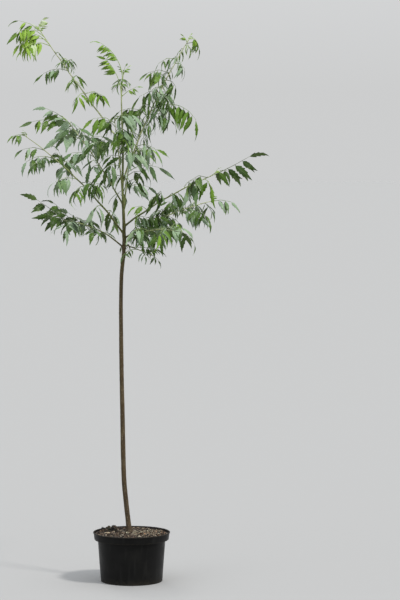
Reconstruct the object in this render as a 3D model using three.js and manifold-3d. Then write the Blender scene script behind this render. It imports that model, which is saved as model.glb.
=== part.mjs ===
// Sapling in a nursery pot: millimetres, Z up, X to the right in the photograph, Y away from the camera.
// The origin is the middle of the pot's flat underside.

import * as THREE from "three";
import Module from "manifold-3d";

const wasm = await Module();
wasm.setup();

// Pot: outer sizes, wall, and the stepped band under the rim.
const POT_HEIGHT = 180;
const POT_FOOT_RADIUS = 112;
const POT_SHOULDER_RADIUS = 123;
const POT_SKIRT_FOOT_RADIUS = 135.5;
const POT_SKIRT_TOP_RADIUS = 138;
const POT_RIM_RADIUS = 140;
const POT_SKIRT_HEIGHT = 27;
const POT_RIM_BEAD = 4.5;
const POT_WALL = 2;
const POT_FLOOR = 2.5;
const POT_SIDES = 32;
const DRAIN_HOLES = 8;
const DRAIN_RADIUS = 7;
const DRAIN_CIRCLE = 88;

// Compost: its level, the mound round the stem, and its lumps.
const FIT_GAP = 0.3;
const SOIL_LEVEL = 172;
const SOIL_MOUND = 4;
const SOIL_MOUND_REACH = 60;
const SOIL_RINGS = 6;
const LUMPS = [
  [0.052, 0.061, 0.4, 1.5],
  [-0.083, 0.097, 1.9, 1.1],
  [0.171, -0.119, 3.1, 0.7],
];

// Trunk: height above the ground, shift to the right and shift away at each gentle bend.
const TRUNK_FOOT = 174;
const TRUNK_BENDS = [
  [174, -7.5, 0],
  [280, -19, 1],
  [380, -27.5, 2],
  [600, -32.5, 2],
  [930, -37, 0],
  [1110, -35, -1],
  [1215, -25.5, 0],
  [1370, -28, 1],
  [1440, -31, 1],
  [1535, -29, 0],
  [1738, -34, 2],
];
const TRUNK_TAPER = [
  [174, 9.2],
  [700, 8.1],
  [1190, 6.6],
  [1380, 4.7],
  [1560, 3.4],
  [1738, 2.3],
];
const FLARE = 5.5;
const FLARE_REACH = 13;
const TRUNK_SIDES = 10;
const TRUNK_STEP = 70;

// Limbs and leaves.
const SHOOT_STEPS = 24;
const SHOOT_TIP_RADIUS = 1.1;
const BOUGH_SIDES = 6;
const STEM_SIDES = 5;
const TWIG_SIDES = 3;
const TWIG_FOOT_RADIUS = 2.1;
const TWIG_TIP_RADIUS = 1.2;
const TWIG_STEP = 36;
const PETIOLE_SHARE = 0.3;
const PAIR_SPACING = 0.55;
const BLADE_SHAPE = { width: 0.34, widest: 0.4, arch: 0.07, fold: 0.05, hook: 0.1, thick: 0.026 };
const BLADE_SUNK = 0.5;
const END_BLADE_SUNK = 1.2;
const CLEARANCE = 0.8;
const CROSSING = 0.05;

// Each shoot: height on the trunk, compass (0 right, 90 away), rise at its foot and tip, length, foot radius
// and the share that is bare bough. How far its leaflets hang is an angle below the leaf's own plane.
// Each leaf: place along the shoot, compass, rise at its foot, bend, length, leaflet length, petiole share.
const SHOOTS = [
  {
    name: "upper_left", height: 1585, compass: 162, rise: [51, 54], length: 534, radius: 3.2, bare: 0.42,
    hang: 50, seed: 101,
    leaves: [
      [1.0, 60, 71, 40, 42, 32],
      [0.98, 190, 45, 40, 84, 46],
      [0.87, 190, 53, 70, 122, 54],
      [0.85, 222, 25, 60, 122, 60],
      [0.79, 300, 20, 60, 46, 46],
      [0.68, 95, 45, 60, 90, 48],
      [0.64, 188, 21, 55, 90, 54],
      [0.58, 300, 34, 70, 50, 48],
      [0.53, 110, 35, 60, 90, 52],
      [0.45, 235, 5, 60, 50, 60],
      [0.44, 322, 27, 60, 88, 60],
    ],
  },
  {
    name: "mid_left", height: 1367, compass: 142, rise: [55, 43], length: 400, radius: 3.0, bare: 0.24,
    hang: 46, seed: 102,
    leaves: [
      [1.0, 188, 16, 30, 132, 54],
      [0.95, 165, 52, 35, 112, 50],
      [0.89, 212, 66, 60, 80, 87],
      [0.84, 85, 35, 60, 140, 71],
      [0.77, 205, 28, 50, 104, 71],
      [0.71, 350, 72, 90, 72, 78],
      [0.63, 100, 30, 60, 130, 69],
      [0.56, 192, 35, 50, 84, 69],
      [0.46, 225, 7, 60, 58, 58],
    ],
  },
  {
    name: "left", height: 1262, compass: 205, rise: [53, 33], length: 525, radius: 3.6, bare: 0.17,
    hang: 54, seed: 103,
    leaves: [
      [1.0, 215, 20, 40, 45, 36],
      [0.83, 192, 27, 50, 76, 50],
      [0.76, 290, 30, 60, 100, 54],
      [0.72, 202, 32, 70, 116, 58],
      [0.65, 120, 74, 30, 60, 50],
      [0.6, 105, 35, 60, 130, 58],
      [0.52, 216, 20, 50, 88, 62],
      [0.44, 250, 12, 50, 108, 62],
      [0.41, 60, 40, 60, 100, 56],
      [0.26, 246, 14, 50, 62, 76],
    ],
  },
  {
    name: "low_left", height: 1213, compass: 195, rise: [44, 4], length: 255, radius: 3.0, bare: 0.24,
    hang: 40, seed: 104,
    leaves: [
      [0.97, 180, 44, 12, 120, 62],
      [0.89, 214, 26, 22, 92, 70],
      [0.83, 262, 24, 44, 96, 62],
      [0.74, 150, 52, 30, 62, 54],
      [0.66, 88, 30, 50, 120, 58],
      [0.5, 260, 8, 36, 52, 48],
    ],
  },
  {
    name: "upper_right", height: 1448, compass: 25, rise: [70, 56], length: 588, radius: 3.4, bare: 0.14,
    hang: 62, seed: 105,
    leaves: [
      [1.0, 335, 26, 110, 48, 38],
      [0.85, 200, 22, 70, 76, 46],
      [0.82, 335, 16, 90, 48, 52],
      [0.75, 192, 30, 60, 84, 54],
      [0.66, 236, 5, 60, 70, 71],
      [0.61, 205, 20, 60, 84, 73],
      [0.56, 75, 45, 70, 130, 73],
      [0.52, 290, 8, 60, 76, 73],
      [0.48, 348, 40, 100, 196, 80],
      [0.44, 198, 52, 80, 118, 76],
      [0.39, 105, 40, 70, 140, 71],
      [0.31, 215, 40, 70, 90, 73],
      [0.24, 328, 31, 70, 86, 76],
    ],
  },
  {
    name: "right", height: 1291, compass: 345, rise: [37, 21], length: 395, radius: 3.6, bare: 0.26,
    hang: 70, seed: 106,
    leaves: [
      [0.99, 350, 24, -6, 138, 70],
      [0.94, 45, 38, 60, 110, 60],
      [0.88, 300, 0, 60, 60, 79],
      [0.8, 235, 8, 60, 60, 84],
      [0.66, 70, 42, 60, 130, 68],
      [0.5, 310, 55, 100, 62, 64],
      [0.46, 225, 55, 100, 66, 64],
    ],
  },
  {
    name: "low_right_front", height: 1228, compass: 305, rise: [26, -6], length: 330, radius: 3.0, bare: 0.18,
    hang: 54, seed: 107,
    leaves: [
      [1.0, 322, 4, 40, 66, 62],
      [0.84, 262, 20, 60, 90, 62],
      [0.73, 352, 30, 50, 80, 60],
      [0.57, 298, 0, 50, 74, 62],
      [0.47, 20, 28, 60, 96, 56],
      [0.42, 232, 45, 70, 62, 60],
      [0.3, 345, 16, 50, 74, 56],
    ],
  },
  {
    name: "low_right_back", height: 1248, compass: 32, rise: [28, 10], length: 405, radius: 3.2, bare: 0.2,
    hang: 52, seed: 108,
    leaves: [
      [0.97, 8, 17, 36, 76, 56],
      [0.76, 85, 30, 60, 116, 58],
      [0.72, 322, 4, 40, 92, 60],
      [0.62, 338, 12, 50, 84, 60],
      [0.55, 50, 38, 50, 96, 54],
      [0.47, 118, 35, 60, 126, 60],
      [0.4, 310, 24, 60, 70, 58],
    ],
  },
  {
    name: "lowest_right", height: 1226, compass: 340, rise: [-16, -22], length: 112, radius: 2.2, bare: 0.2,
    hang: 44, seed: 109,
    leaves: [
      [0.98, 330, -18, 30, 34, 34],
      [0.66, 285, 5, 40, 62, 36],
      [0.3, 352, 6, 26, 96, 36],
    ],
  },
  {
    name: "front", height: 1372, compass: 258, rise: [72, 62], length: 330, radius: 3.0, bare: 0.2,
    hang: 54, seed: 110,
    leaves: [
      [1.0, 15, 52, 70, 66, 73],
      [0.96, 190, 46, 70, 84, 73],
      [0.86, 290, 34, 60, 84, 71],
      [0.72, 200, 30, 60, 88, 73],
      [0.6, 335, 28, 60, 84, 73],
      [0.45, 215, 22, 60, 74, 73],
    ],
  },
  {
    name: "back", height: 1335, compass: 84, rise: [58, 34], length: 330, radius: 3.2, bare: 0.2,
    hang: 52, seed: 111,
    leaves: [
      [1.0, 88, 40, 50, 130, 71],
      [0.86, 40, 42, 60, 126, 71],
      [0.74, 132, 40, 60, 130, 71],
      [0.6, 5, 38, 60, 116, 71],
      [0.47, 165, 38, 60, 104, 69],
      [0.36, 20, 32, 60, 88, 67],
    ],
  },
  {
    name: "leader", height: 1738, compass: 20, rise: [90, 81], length: 104, radius: 2.2, bare: 0,
    hang: 42, seed: 112,
    leaves: [
      [0.98, 60, 80, 30, 30, 26],
      [0.7, 272, 36, 60, 74, 40],
      [0.5, 95, 40, 60, 90, 42],
      [0.55, 205, 100, 75, 185, 38, 0.5],
      [0.2, 340, 45, 30, 70, 28, 0.45],
      [0.12, 205, 92, 50, 158, 40, 0.58],
    ],
  },
];

// Small vector sums.
const add = (a, b) => [a[0] + b[0], a[1] + b[1], a[2] + b[2]];
const sub = (a, b) => [a[0] - b[0], a[1] - b[1], a[2] - b[2]];
const times = (a, s) => [a[0] * s, a[1] * s, a[2] * s];
const dot = (a, b) => a[0] * b[0] + a[1] * b[1] + a[2] * b[2];
const cross = (a, b) => [a[1] * b[2] - a[2] * b[1], a[2] * b[0] - a[0] * b[2], a[0] * b[1] - a[1] * b[0]];
const unit = (a) => times(a, 1 / Math.sqrt(dot(a, a)));
const rad = (degrees) => (degrees * Math.PI) / 180;
const mix = (a, b, t) => a + (b - a) * t;

// The same seed always gives the same run of numbers from 0 to 1.
function seededRandom(seed) {
  let state = seed >>> 0;
  return () => {
    state = (state + 0x6d2b79f5) >>> 0;
    let t = Math.imul(state ^ (state >>> 15), state | 1);
    t ^= t + Math.imul(t ^ (t >>> 7), t | 61);
    return ((t ^ (t >>> 14)) >>> 0) / 4294967296;
  };
}

// A closed solid from points and faces, turned outside out.
function closedSolid(points, faces) {
  const make = (list) =>
    new wasm.Manifold(
      new wasm.Mesh({ numProp: 3, vertProperties: new Float32Array(points.flat()), triVerts: new Uint32Array(list.flat()) }),
    );
  let volume = 0;
  for (const [a, b, c] of faces) {
    volume += dot(points[a], cross(points[b], points[c]));
  }
  return make(volume > 0 ? faces : faces.map(([a, b, c]) => [a, c, b]));
}

// A body of revolution from a profile of [radius, height] that starts and ends on the axis.
function lathe(profile, sides, shift = () => 0) {
  const points = [];
  const rings = profile.map(([radius, height]) => {
    if (radius === 0) {
      points.push([0, 0, height + shift(0, 0, height)]);
      return [points.length - 1];
    }
    const ring = [];
    for (let i = 0; i < sides; i++) {
      const angle = (2 * Math.PI * i) / sides;
      const x = radius * Math.cos(angle);
      const y = radius * Math.sin(angle);
      points.push([x, y, height + shift(x, y, height)]);
      ring.push(points.length - 1);
    }
    return ring;
  });
  const faces = [];
  for (let k = 0; k + 1 < rings.length; k++) {
    const [low, high] = [rings[k], rings[k + 1]];
    for (let i = 0; i < sides; i++) {
      const j = (i + 1) % sides;
      if (low.length > 1) {
        faces.push([low[i], low[j], high[high.length > 1 ? j : 0]]);
      }
      if (high.length > 1) {
        faces.push([low[low.length > 1 ? i : 0], high[j], high[i]]);
      }
    }
  }
  return closedSolid(points, faces);
}

// A limb through a row of rings. Each ring has a centre, two axes and a radius.
function limb(rings, sides, phase = 0) {
  const points = [];
  for (const { at, side, up, radius } of rings) {
    for (let i = 0; i < sides; i++) {
      const angle = (2 * Math.PI * i) / sides + phase;
      points.push(add(at, add(times(side, radius * Math.cos(angle)), times(up, radius * Math.sin(angle)))));
    }
  }
  const faces = [];
  const last = (rings.length - 1) * sides;
  for (let k = 0; k < last; k += sides) {
    for (let i = 0; i < sides; i++) {
      const j = (i + 1) % sides;
      faces.push([k + i, k + j, k + sides + j], [k + i, k + sides + j, k + sides + i]);
    }
  }
  for (let i = 1; i + 1 < sides; i++) {
    faces.push([0, i + 1, i], [last, last + i, last + i + 1]);
  }
  return closedSolid(points, faces);
}

// Linear reading of a table of [place, value].
function reading(table, place) {
  let k = 0;
  while (k < table.length - 2 && place > table[k + 1][0]) {
    k++;
  }
  const [[a, va], [b, vb]] = [table[k], table[k + 1]];
  return mix(va, vb, Math.min(Math.max((place - a) / (b - a), 0), 1));
}

// The trunk's centre line at a height: a smooth curve through the bends.
function trunkCentre(z) {
  const rows = TRUNK_BENDS;
  let k = 0;
  while (k < rows.length - 2 && z > rows[k + 1][0]) {
    k++;
  }
  const slope = (i, c) => {
    const [a, b] = [Math.max(i - 1, 0), Math.min(i + 1, rows.length - 1)];
    return (rows[b][c] - rows[a][c]) / (rows[b][0] - rows[a][0]);
  };
  const span = rows[k + 1][0] - rows[k][0];
  const t = (z - rows[k][0]) / span;
  const curve = (c) =>
    (2 * t ** 3 - 3 * t ** 2 + 1) * rows[k][c] +
    (t ** 3 - 2 * t ** 2 + t) * span * slope(k, c) +
    (3 * t ** 2 - 2 * t ** 3) * rows[k + 1][c] +
    (t ** 3 - t ** 2) * span * slope(k + 1, c);
  return [curve(1), curve(2), z];
}

const trunkRadius = (z) => reading(TRUNK_TAPER, z) + FLARE * Math.exp(-(z - TRUNK_FOOT) / FLARE_REACH);

function trunkSolid(extra) {
  const top = TRUNK_BENDS[TRUNK_BENDS.length - 1][0];
  const heights = [TRUNK_FOOT, TRUNK_FOOT + 6, TRUNK_FOOT + 14, TRUNK_FOOT + 28];
  for (let z = TRUNK_FOOT + 70; z < top - TRUNK_STEP / 2; z += TRUNK_STEP) {
    heights.push(z);
  }
  heights.push(top);
  const rings = heights.map((z) => ({
    at: trunkCentre(z),
    side: [1, 0, 0],
    up: [0, 1, 0],
    radius: trunkRadius(z) + extra,
  }));
  if (extra > 0) {
    rings[rings.length - 1].at[2] += FIT_GAP;
  }
  return limb(rings, TRUNK_SIDES);
}

// A path that keeps its compass while its rise changes evenly from foot to tip.
function bentPath(foot, compass, riseFoot, riseTip, length, steps) {
  const out = [Math.cos(rad(compass)), Math.sin(rad(compass)), 0];
  const side = [-out[1], out[0], 0];
  const stations = [];
  let at = foot;
  for (let i = 0; i <= steps; i++) {
    const rise = rad(mix(riseFoot, riseTip, i / steps));
    const forward = add(times(out, Math.cos(rise)), [0, 0, Math.sin(rise)]);
    stations.push({ at, forward, side, up: cross(forward, side), share: i / steps });
    const middle = rad(mix(riseFoot, riseTip, (i + 0.5) / steps));
    at = add(at, times(add(times(out, Math.cos(middle)), [0, 0, Math.sin(middle)]), length / steps));
  }
  return stations;
}

// The station at a share of a path, between two of its steps.
function stationAt(path, share) {
  const place = Math.min(Math.max(share, 0), 1) * (path.length - 1);
  const k = Math.min(Math.floor(place), path.length - 2);
  const t = place - k;
  const blend = (key) => path[k][key].map((v, i) => mix(v, path[k + 1][key][i], t));
  const forward = unit(blend("forward"));
  const side = path[k].side;
  return { at: blend("at"), forward, side, up: cross(forward, side), share };
}

// One leaflet of 8 faces: root, tip, two edges, and a top and an under point on an arched midrib.
function leaflet(root, forward, side, length, turn, sunk) {
  const shape = BLADE_SHAPE;
  const normal = unit(add(times(cross(forward, side), Math.cos(turn)), times(side, Math.sin(turn))));
  const across = cross(normal, forward);
  const half = (shape.width * length) / 2;
  const foot = sub(root, times(forward, sunk));
  const point = (along, out, rise) =>
    add(foot, add(times(forward, along * length), add(times(across, out), times(normal, rise * length))));
  const points = [
    foot,
    point(1, 0, -shape.hook),
    point(shape.widest, half, shape.arch - shape.fold),
    point(shape.widest, -half, shape.arch - shape.fold),
    point(shape.widest + 0.04, 0, shape.arch + shape.thick / 2),
    point(shape.widest + 0.04, 0, shape.arch - shape.thick / 2),
  ];
  const faces = [
    [0, 4, 2],
    [2, 4, 1],
    [1, 4, 3],
    [3, 4, 0],
    [0, 2, 5],
    [2, 1, 5],
    [1, 3, 5],
    [3, 0, 5],
  ];
  return closedSolid(points, faces);
}

// One leaf: a three-sided rachis and leaflets in pairs with one at the end. All draws come before any test.
function leafPieces(station, row, hang, random) {
  const [, compass, rise, bend, length, blade, petiole = PETIOLE_SHARE] = row;
  const heading = compass + mix(-6, 6, random());
  const steps = Math.min(Math.max(Math.round(length / TWIG_STEP), 2), 5);
  const path = bentPath(station.at, heading, rise, rise - bend, length, steps);
  const radiusAt = (share) => mix(TWIG_FOOT_RADIUS, TWIG_TIP_RADIUS, share);
  const twig = limb(
    path.map((s) => ({ ...s, radius: radiusAt(s.share) })),
    TWIG_SIDES,
    -Math.PI / 2,
  );
  const pairs = Math.max(1, Math.round(((1 - petiole) * length) / (PAIR_SPACING * blade)));
  const blades = [];
  for (let i = 0; i < pairs; i++) {
    const share = mix(petiole, 0.96, (i + 0.25) / pairs);
    const size = blade * (0.86 + 0.28 * Math.sin(Math.PI * Math.min((i + 1) / (pairs + 0.6), 1)));
    for (const hand of [1, -1]) {
      const droop = rad(hang + mix(-14, 14, random()));
      const sweep = rad(mix(12, 30, random()));
      const grown = size * mix(0.86, 1.1, random());
      const turn = rad(mix(-22, 22, random()));
      const s = stationAt(path, share + mix(-0.012, 0.012, random()));
      const out = add(times(s.side, hand * Math.cos(droop)), times(s.up, -Math.sin(droop)));
      const forward = unit(add(times(out, Math.cos(sweep)), times(s.forward, Math.sin(sweep))));
      const across = unit(times(sub(s.forward, times(forward, dot(s.forward, forward))), -hand));
      blades.push(leaflet(s.at, forward, across, grown, turn, BLADE_SUNK * radiusAt(s.share)));
    }
  }
  const end = path[path.length - 1];
  const dip = rad(mix(8, 30, random()));
  const forward = unit(add(times(end.forward, Math.cos(dip)), times(end.up, -Math.sin(dip))));
  const grown = blade * mix(0.95, 1.15, random());
  blades.push(leaflet(end.at, forward, end.side, grown, rad(mix(-25, 25, random())), END_BLADE_SUNK));
  return { twig, blades };
}

// Two boxes that come within a distance of each other.
const boxesMeet = (a, b, gap) =>
  [0, 1, 2].every((i) => a.min[i] - gap < b.max[i] && b.min[i] - gap < a.max[i]);

const boxed = (solid) => ({ solid, box: solid.boundingBox() });

function touches(piece, others) {
  const mine = boxed(piece);
  return others.some(
    (other) => boxesMeet(mine.box, other.box, CLEARANCE) && piece.minGap(other.solid, CLEARANCE + 1) < CLEARANCE,
  );
}

// A piece that cuts through others of its own mass.
function crosses(piece, others) {
  const box = piece.boundingBox();
  return others.some((other) => boxesMeet(box, other.box, 0) && piece.intersect(other.solid).volume() > CROSSING);
}

// The largest of a fused solid's parts. A loose scrap is dropped and a sealed hollow is filled.
function oneBody(solid) {
  const parts = solid.simplify(0.02).decompose();
  parts.sort((a, b) => b.volume() - a.volume());
  return parts[0];
}

// Compost surface: a low mound round the stem, with lumps.
function soilShift(x, y, height) {
  if (height < SOIL_LEVEL) {
    return 0;
  }
  const foot = trunkCentre(TRUNK_FOOT);
  const reach = Math.hypot(x - foot[0], y - foot[1]) / SOIL_MOUND_REACH;
  let rise = SOIL_MOUND * Math.exp(-reach * reach);
  for (const [a, b, phase, size] of LUMPS) {
    rise += size * Math.sin(a * x + phase) * Math.cos(b * y + phase);
  }
  return rise;
}

function potSolid() {
  const skirt = POT_HEIGHT - POT_SKIRT_HEIGHT;
  const outside = [
    [0, 0],
    [POT_FOOT_RADIUS - 2, 0],
    [POT_FOOT_RADIUS, 2],
    [POT_SHOULDER_RADIUS, skirt - 1.5],
    [POT_SKIRT_FOOT_RADIUS - 1, skirt],
    [POT_SKIRT_FOOT_RADIUS, skirt + 1],
    [POT_SKIRT_TOP_RADIUS, POT_HEIGHT - POT_RIM_BEAD],
    [POT_RIM_RADIUS, POT_HEIGHT - POT_RIM_BEAD + 1],
    [POT_RIM_RADIUS, POT_HEIGHT - 1],
    [POT_RIM_RADIUS - 1, POT_HEIGHT],
  ];
  const inside = [
    [POT_RIM_RADIUS - 3.2, POT_HEIGHT],
    [POT_SKIRT_TOP_RADIUS - POT_WALL, POT_HEIGHT - 1],
    [POT_SKIRT_FOOT_RADIUS - POT_WALL, skirt + POT_WALL + 1],
    [POT_SHOULDER_RADIUS - POT_WALL, skirt + 0.5],
    [POT_FOOT_RADIUS - POT_WALL, POT_FLOOR + 2],
    [POT_FOOT_RADIUS - POT_WALL - 2, POT_FLOOR],
    [0, POT_FLOOR],
  ];
  let pot = lathe([...outside, ...inside], POT_SIDES);
  for (let i = 0; i < DRAIN_HOLES; i++) {
    const angle = (2 * Math.PI * (i + 0.5)) / DRAIN_HOLES;
    const hole = wasm.Manifold.cylinder(4 * POT_FLOOR, DRAIN_RADIUS, DRAIN_RADIUS, 10, true).translate([
      DRAIN_CIRCLE * Math.cos(angle),
      DRAIN_CIRCLE * Math.sin(angle),
      0,
    ]);
    pot = pot.subtract(hole);
  }
  return pot;
}

function compostSolid() {
  const skirt = POT_HEIGHT - POT_SKIRT_HEIGHT;
  const gap = FIT_GAP + 0.1;
  const slope = (POT_SKIRT_TOP_RADIUS - POT_SKIRT_FOOT_RADIUS) / (POT_SKIRT_HEIGHT - POT_RIM_BEAD);
  const top = POT_SKIRT_FOOT_RADIUS - POT_WALL + slope * (SOIL_LEVEL - 4 - skirt - POT_WALL) - gap;
  const profile = [
    [0, POT_FLOOR + FIT_GAP],
    [POT_FOOT_RADIUS - POT_WALL - 2 - gap, POT_FLOOR + FIT_GAP],
    [POT_FOOT_RADIUS - POT_WALL - gap, POT_FLOOR + 2 + gap],
    [POT_SHOULDER_RADIUS - POT_WALL - gap, skirt + 0.5 + gap],
    [POT_SKIRT_FOOT_RADIUS - POT_WALL - gap, skirt + POT_WALL + 1 + gap],
    [top, SOIL_LEVEL - 3],
  ];
  for (let k = SOIL_RINGS; k > 0; k--) {
    profile.push([(top * (k - 0.15)) / SOIL_RINGS, SOIL_LEVEL]);
  }
  profile.push([0, SOIL_LEVEL]);
  const foot = trunkCentre(TRUNK_FOOT);
  const socket = wasm.Manifold.cylinder(60, trunkRadius(TRUNK_FOOT) + 0.6, trunkRadius(TRUNK_FOOT) + 0.6, 20);
  return lathe(profile, POT_SIDES, soilShift).subtract(
    socket.translate([foot[0], foot[1], TRUNK_FOOT - FIT_GAP]),
  );
}

// Solids, with what each mass has to keep clear of.
const FLAT = 1 / Math.cos(Math.PI / TRUNK_SIDES);
const trunk = trunkSolid(0);
const trunkCutter = trunkSolid(FIT_GAP * FLAT);
const pot = potSolid();
const compost = oneBody(compostSolid());
const shootPaths = SHOOTS.map((row) =>
  bentPath(trunkCentre(row.height), row.compass, row.rise[0], row.rise[1], row.length, SHOOT_STEPS),
);

function shootPiece(row, path, from, to, sides, steps) {
  const rings = [];
  for (let i = 0; i <= steps; i++) {
    const share = mix(from, to, i / steps);
    rings.push({ ...stationAt(path, share), radius: mix(row.radius, SHOOT_TIP_RADIUS, share) });
  }
  return limb(rings, sides);
}

const boughs = SHOOTS.map((row, i) => {
  if (row.bare === 0) {
    return null;
  }
  const steps = Math.max(3, Math.round((row.bare * row.length) / 24));
  return oneBody(shootPiece(row, shootPaths[i], 0, row.bare, BOUGH_SIDES, steps).subtract(trunkCutter));
});

const placed = [trunk, pot, compost, ...boughs.filter(Boolean)].map(boxed);
const skipped = {};
const masses = SHOOTS.map((row, i) => {
  const random = seededRandom(row.seed);
  const path = shootPaths[i];
  const start = row.bare + FIT_GAP / row.length;
  const steps = Math.max(3, Math.round(((1 - start) * row.length) / 45));
  const stem = shootPiece(row, path, start, 1, STEM_SIDES, steps);
  const pieces = [boxed(stem)];
  skipped[row.name] = 0;
  for (const leaf of row.leaves) {
    const { twig, blades } = leafPieces(stationAt(path, leaf[0]), leaf, row.hang, random);
    if (touches(twig, placed)) {
      skipped[row.name] += 1 + blades.length;
      continue;
    }
    const fixed = [...pieces];
    const own = [];
    for (const blade of blades) {
      if (touches(blade, placed) || crosses(blade, fixed) || crosses(blade, own)) {
        skipped[row.name] += 1;
      } else {
        own.push(boxed(blade));
      }
    }
    pieces.push(boxed(twig), ...own);
  }
  const mass = oneBody(wasm.Manifold.union(pieces.map((piece) => piece.solid)));
  placed.push(boxed(mass));
  return mass;
});

// One named mesh for each solid, with its own plain colour.
const group = new THREE.Group();

function show(solid, name, colour, roughness) {
  const { vertProperties, triVerts, numProp } = solid.getMesh();
  const places = new Float32Array((vertProperties.length / numProp) * 3);
  for (let i = 0; i < places.length; i++) {
    places[i] = vertProperties[Math.floor(i / 3) * numProp + (i % 3)];
  }
  const geometry = new THREE.BufferGeometry();
  geometry.setAttribute("position", new THREE.BufferAttribute(places, 3));
  geometry.setIndex(new THREE.BufferAttribute(new Uint32Array(triVerts), 1));
  geometry.computeVertexNormals();
  const mesh = new THREE.Mesh(geometry, new THREE.MeshStandardMaterial({ color: colour, roughness }));
  mesh.name = name;
  group.add(mesh);
}

show(pot, "pot", 0x17181a, 0.5);
show(compost, "compost", 0x3a2c20, 1);
show(trunk, "trunk", 0x5d5040, 0.8);
SHOOTS.forEach((row, i) => {
  if (boughs[i]) {
    show(boughs[i], `bough_${row.name}`, 0x5c7a3a, 0.7);
  }
  show(masses[i], `foliage_${row.name}`, 0x3f7a3c, 0.6);
});

export default group;
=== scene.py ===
# %% [markdown]
# # A young tree in a nursery pot
#
# A sapling with one slender stem and a light crown of drooping compound leaves grows in a round black
# nursery pot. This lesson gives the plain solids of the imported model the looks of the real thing: bark
# with its pores and scars, shoots that taper out of the stem, stalks and toothed leaflets, a moulded
# pot and its compost. Every shape is worked out with numpy as whole arrays and put into a mesh at once.

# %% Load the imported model
import math
from collections import namedtuple

import bmesh
import bpy
import numpy as np
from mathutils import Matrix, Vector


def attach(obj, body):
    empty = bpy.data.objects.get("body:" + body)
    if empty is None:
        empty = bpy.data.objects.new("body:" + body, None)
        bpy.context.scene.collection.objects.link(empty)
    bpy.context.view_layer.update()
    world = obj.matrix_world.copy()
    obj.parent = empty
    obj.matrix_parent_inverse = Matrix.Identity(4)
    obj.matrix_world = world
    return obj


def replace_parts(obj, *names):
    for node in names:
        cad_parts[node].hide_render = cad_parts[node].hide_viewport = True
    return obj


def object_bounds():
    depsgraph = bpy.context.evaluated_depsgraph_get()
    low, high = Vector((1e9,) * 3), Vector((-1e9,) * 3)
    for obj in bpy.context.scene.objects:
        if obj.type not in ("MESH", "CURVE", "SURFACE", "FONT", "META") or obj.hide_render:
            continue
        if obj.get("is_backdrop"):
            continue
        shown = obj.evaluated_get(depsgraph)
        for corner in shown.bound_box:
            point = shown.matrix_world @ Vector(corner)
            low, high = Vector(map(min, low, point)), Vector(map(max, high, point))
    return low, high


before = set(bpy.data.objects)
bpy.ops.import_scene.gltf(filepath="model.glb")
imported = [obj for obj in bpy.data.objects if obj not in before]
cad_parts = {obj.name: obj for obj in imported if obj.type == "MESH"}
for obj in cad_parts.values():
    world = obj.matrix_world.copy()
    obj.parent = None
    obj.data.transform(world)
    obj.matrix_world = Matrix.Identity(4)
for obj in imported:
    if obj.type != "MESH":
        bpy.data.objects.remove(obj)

MM = 0.001
solid_low, solid_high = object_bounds()
print("solids:", len(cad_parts), "nodes from", list(solid_low), "to", list(solid_high))

# %% [markdown]
# ## The camera
#
# The photograph's perspective fits a camera about nine metres away, with a long lens, at standing height
# and looking down a little. A long lens flattens depth, so near and far leaves come out at one size. The
# camera is placed first, so that every render shows the photograph's own framing.

# %% The photograph's viewpoint
CAMERA_PLACE = (0.249, -9.0, 1.600)
LOOK_DOWN = 3.655
LENS, SENSOR = 149.52, 36.0

lens = bpy.data.cameras.new("camera")
lens.lens, lens.sensor_width = LENS, SENSOR
camera = bpy.data.objects.new("camera", lens)
camera.location = CAMERA_PLACE
camera.rotation_euler = (math.radians(90 - LOOK_DOWN), 0, 0)
bpy.context.scene.collection.objects.link(camera)
bpy.context.scene.camera = camera
print("camera: lens", lens.lens, "mm at", tuple(camera.location))

# %% [markdown]
# ## From arrays to meshes
#
# Blender keeps a mesh as long plain lists: places, corner numbers, and where each face starts. Writing
# those lists whole is quick even for a hundred thousand faces, which a loop over points is not. Each
# face knows its finish by a number. Edges that turn sharply stay crisp, and the rest is shaded smooth.
# A mesh can also carry named numbers, one per point, which a material reads later.

# %% One mesh from whole arrays
SHARP_EDGE = 50.0


def make_piece(name, points, faces, finishes, which=None, sharp=SHARP_EDGE, marks=None):
    """A piece at the origin. points: rows of x, y, z in millimetres. faces: a list of arrays of quads
    or triangles. which: a finish number for each face. marks: named numbers, one for each point."""
    mesh = bpy.data.meshes.new(name)
    corners = np.concatenate([group.ravel() for group in faces])
    sizes = np.concatenate([np.full(len(group), group.shape[1]) for group in faces])
    mesh.vertices.add(len(points))
    mesh.vertices.foreach_set("co", (points * MM).astype(np.float32).ravel())
    mesh.loops.add(len(corners))
    mesh.loops.foreach_set("vertex_index", corners.astype(np.int32))
    mesh.polygons.add(len(sizes))
    mesh.polygons.foreach_set("loop_start", (np.cumsum(sizes) - sizes).astype(np.int32))
    mesh.update(calc_edges=True)
    for finish in finishes:
        mesh.materials.append(finish)
    if which is not None:
        mesh.polygons.foreach_set("material_index", np.asarray(which, np.int32))
    mesh.polygons.foreach_set("use_smooth", np.ones(len(sizes), bool))
    mesh.set_sharp_from_angle(angle=math.radians(sharp))
    for key, numbers in (marks or {}).items():
        mark = mesh.attributes.new(key, "FLOAT", "POINT")
        mark.data.foreach_set("value", np.asarray(numbers, np.float32))
    piece = bpy.data.objects.new(name, mesh)
    bpy.context.scene.collection.objects.link(piece)
    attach(piece, "root")
    print(f"{name}: {len(points)} points, {len(sizes)} faces")
    return piece


print("edges that turn by more than", SHARP_EDGE, "degrees stay crisp")

# %% Faces of grids and of closed tubes
def grid_quads(rows, columns):
    """Quads between neighbouring rows of a grid that closes round from its last column to its first."""
    row = np.arange(rows - 1)[:, None] * columns
    here = np.arange(columns)[None]
    beside = (here + 1) % columns
    corners = [row + here, row + beside, row + columns + beside, row + columns + here]
    return np.stack(corners, -1).reshape(-1, 4)


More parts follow.
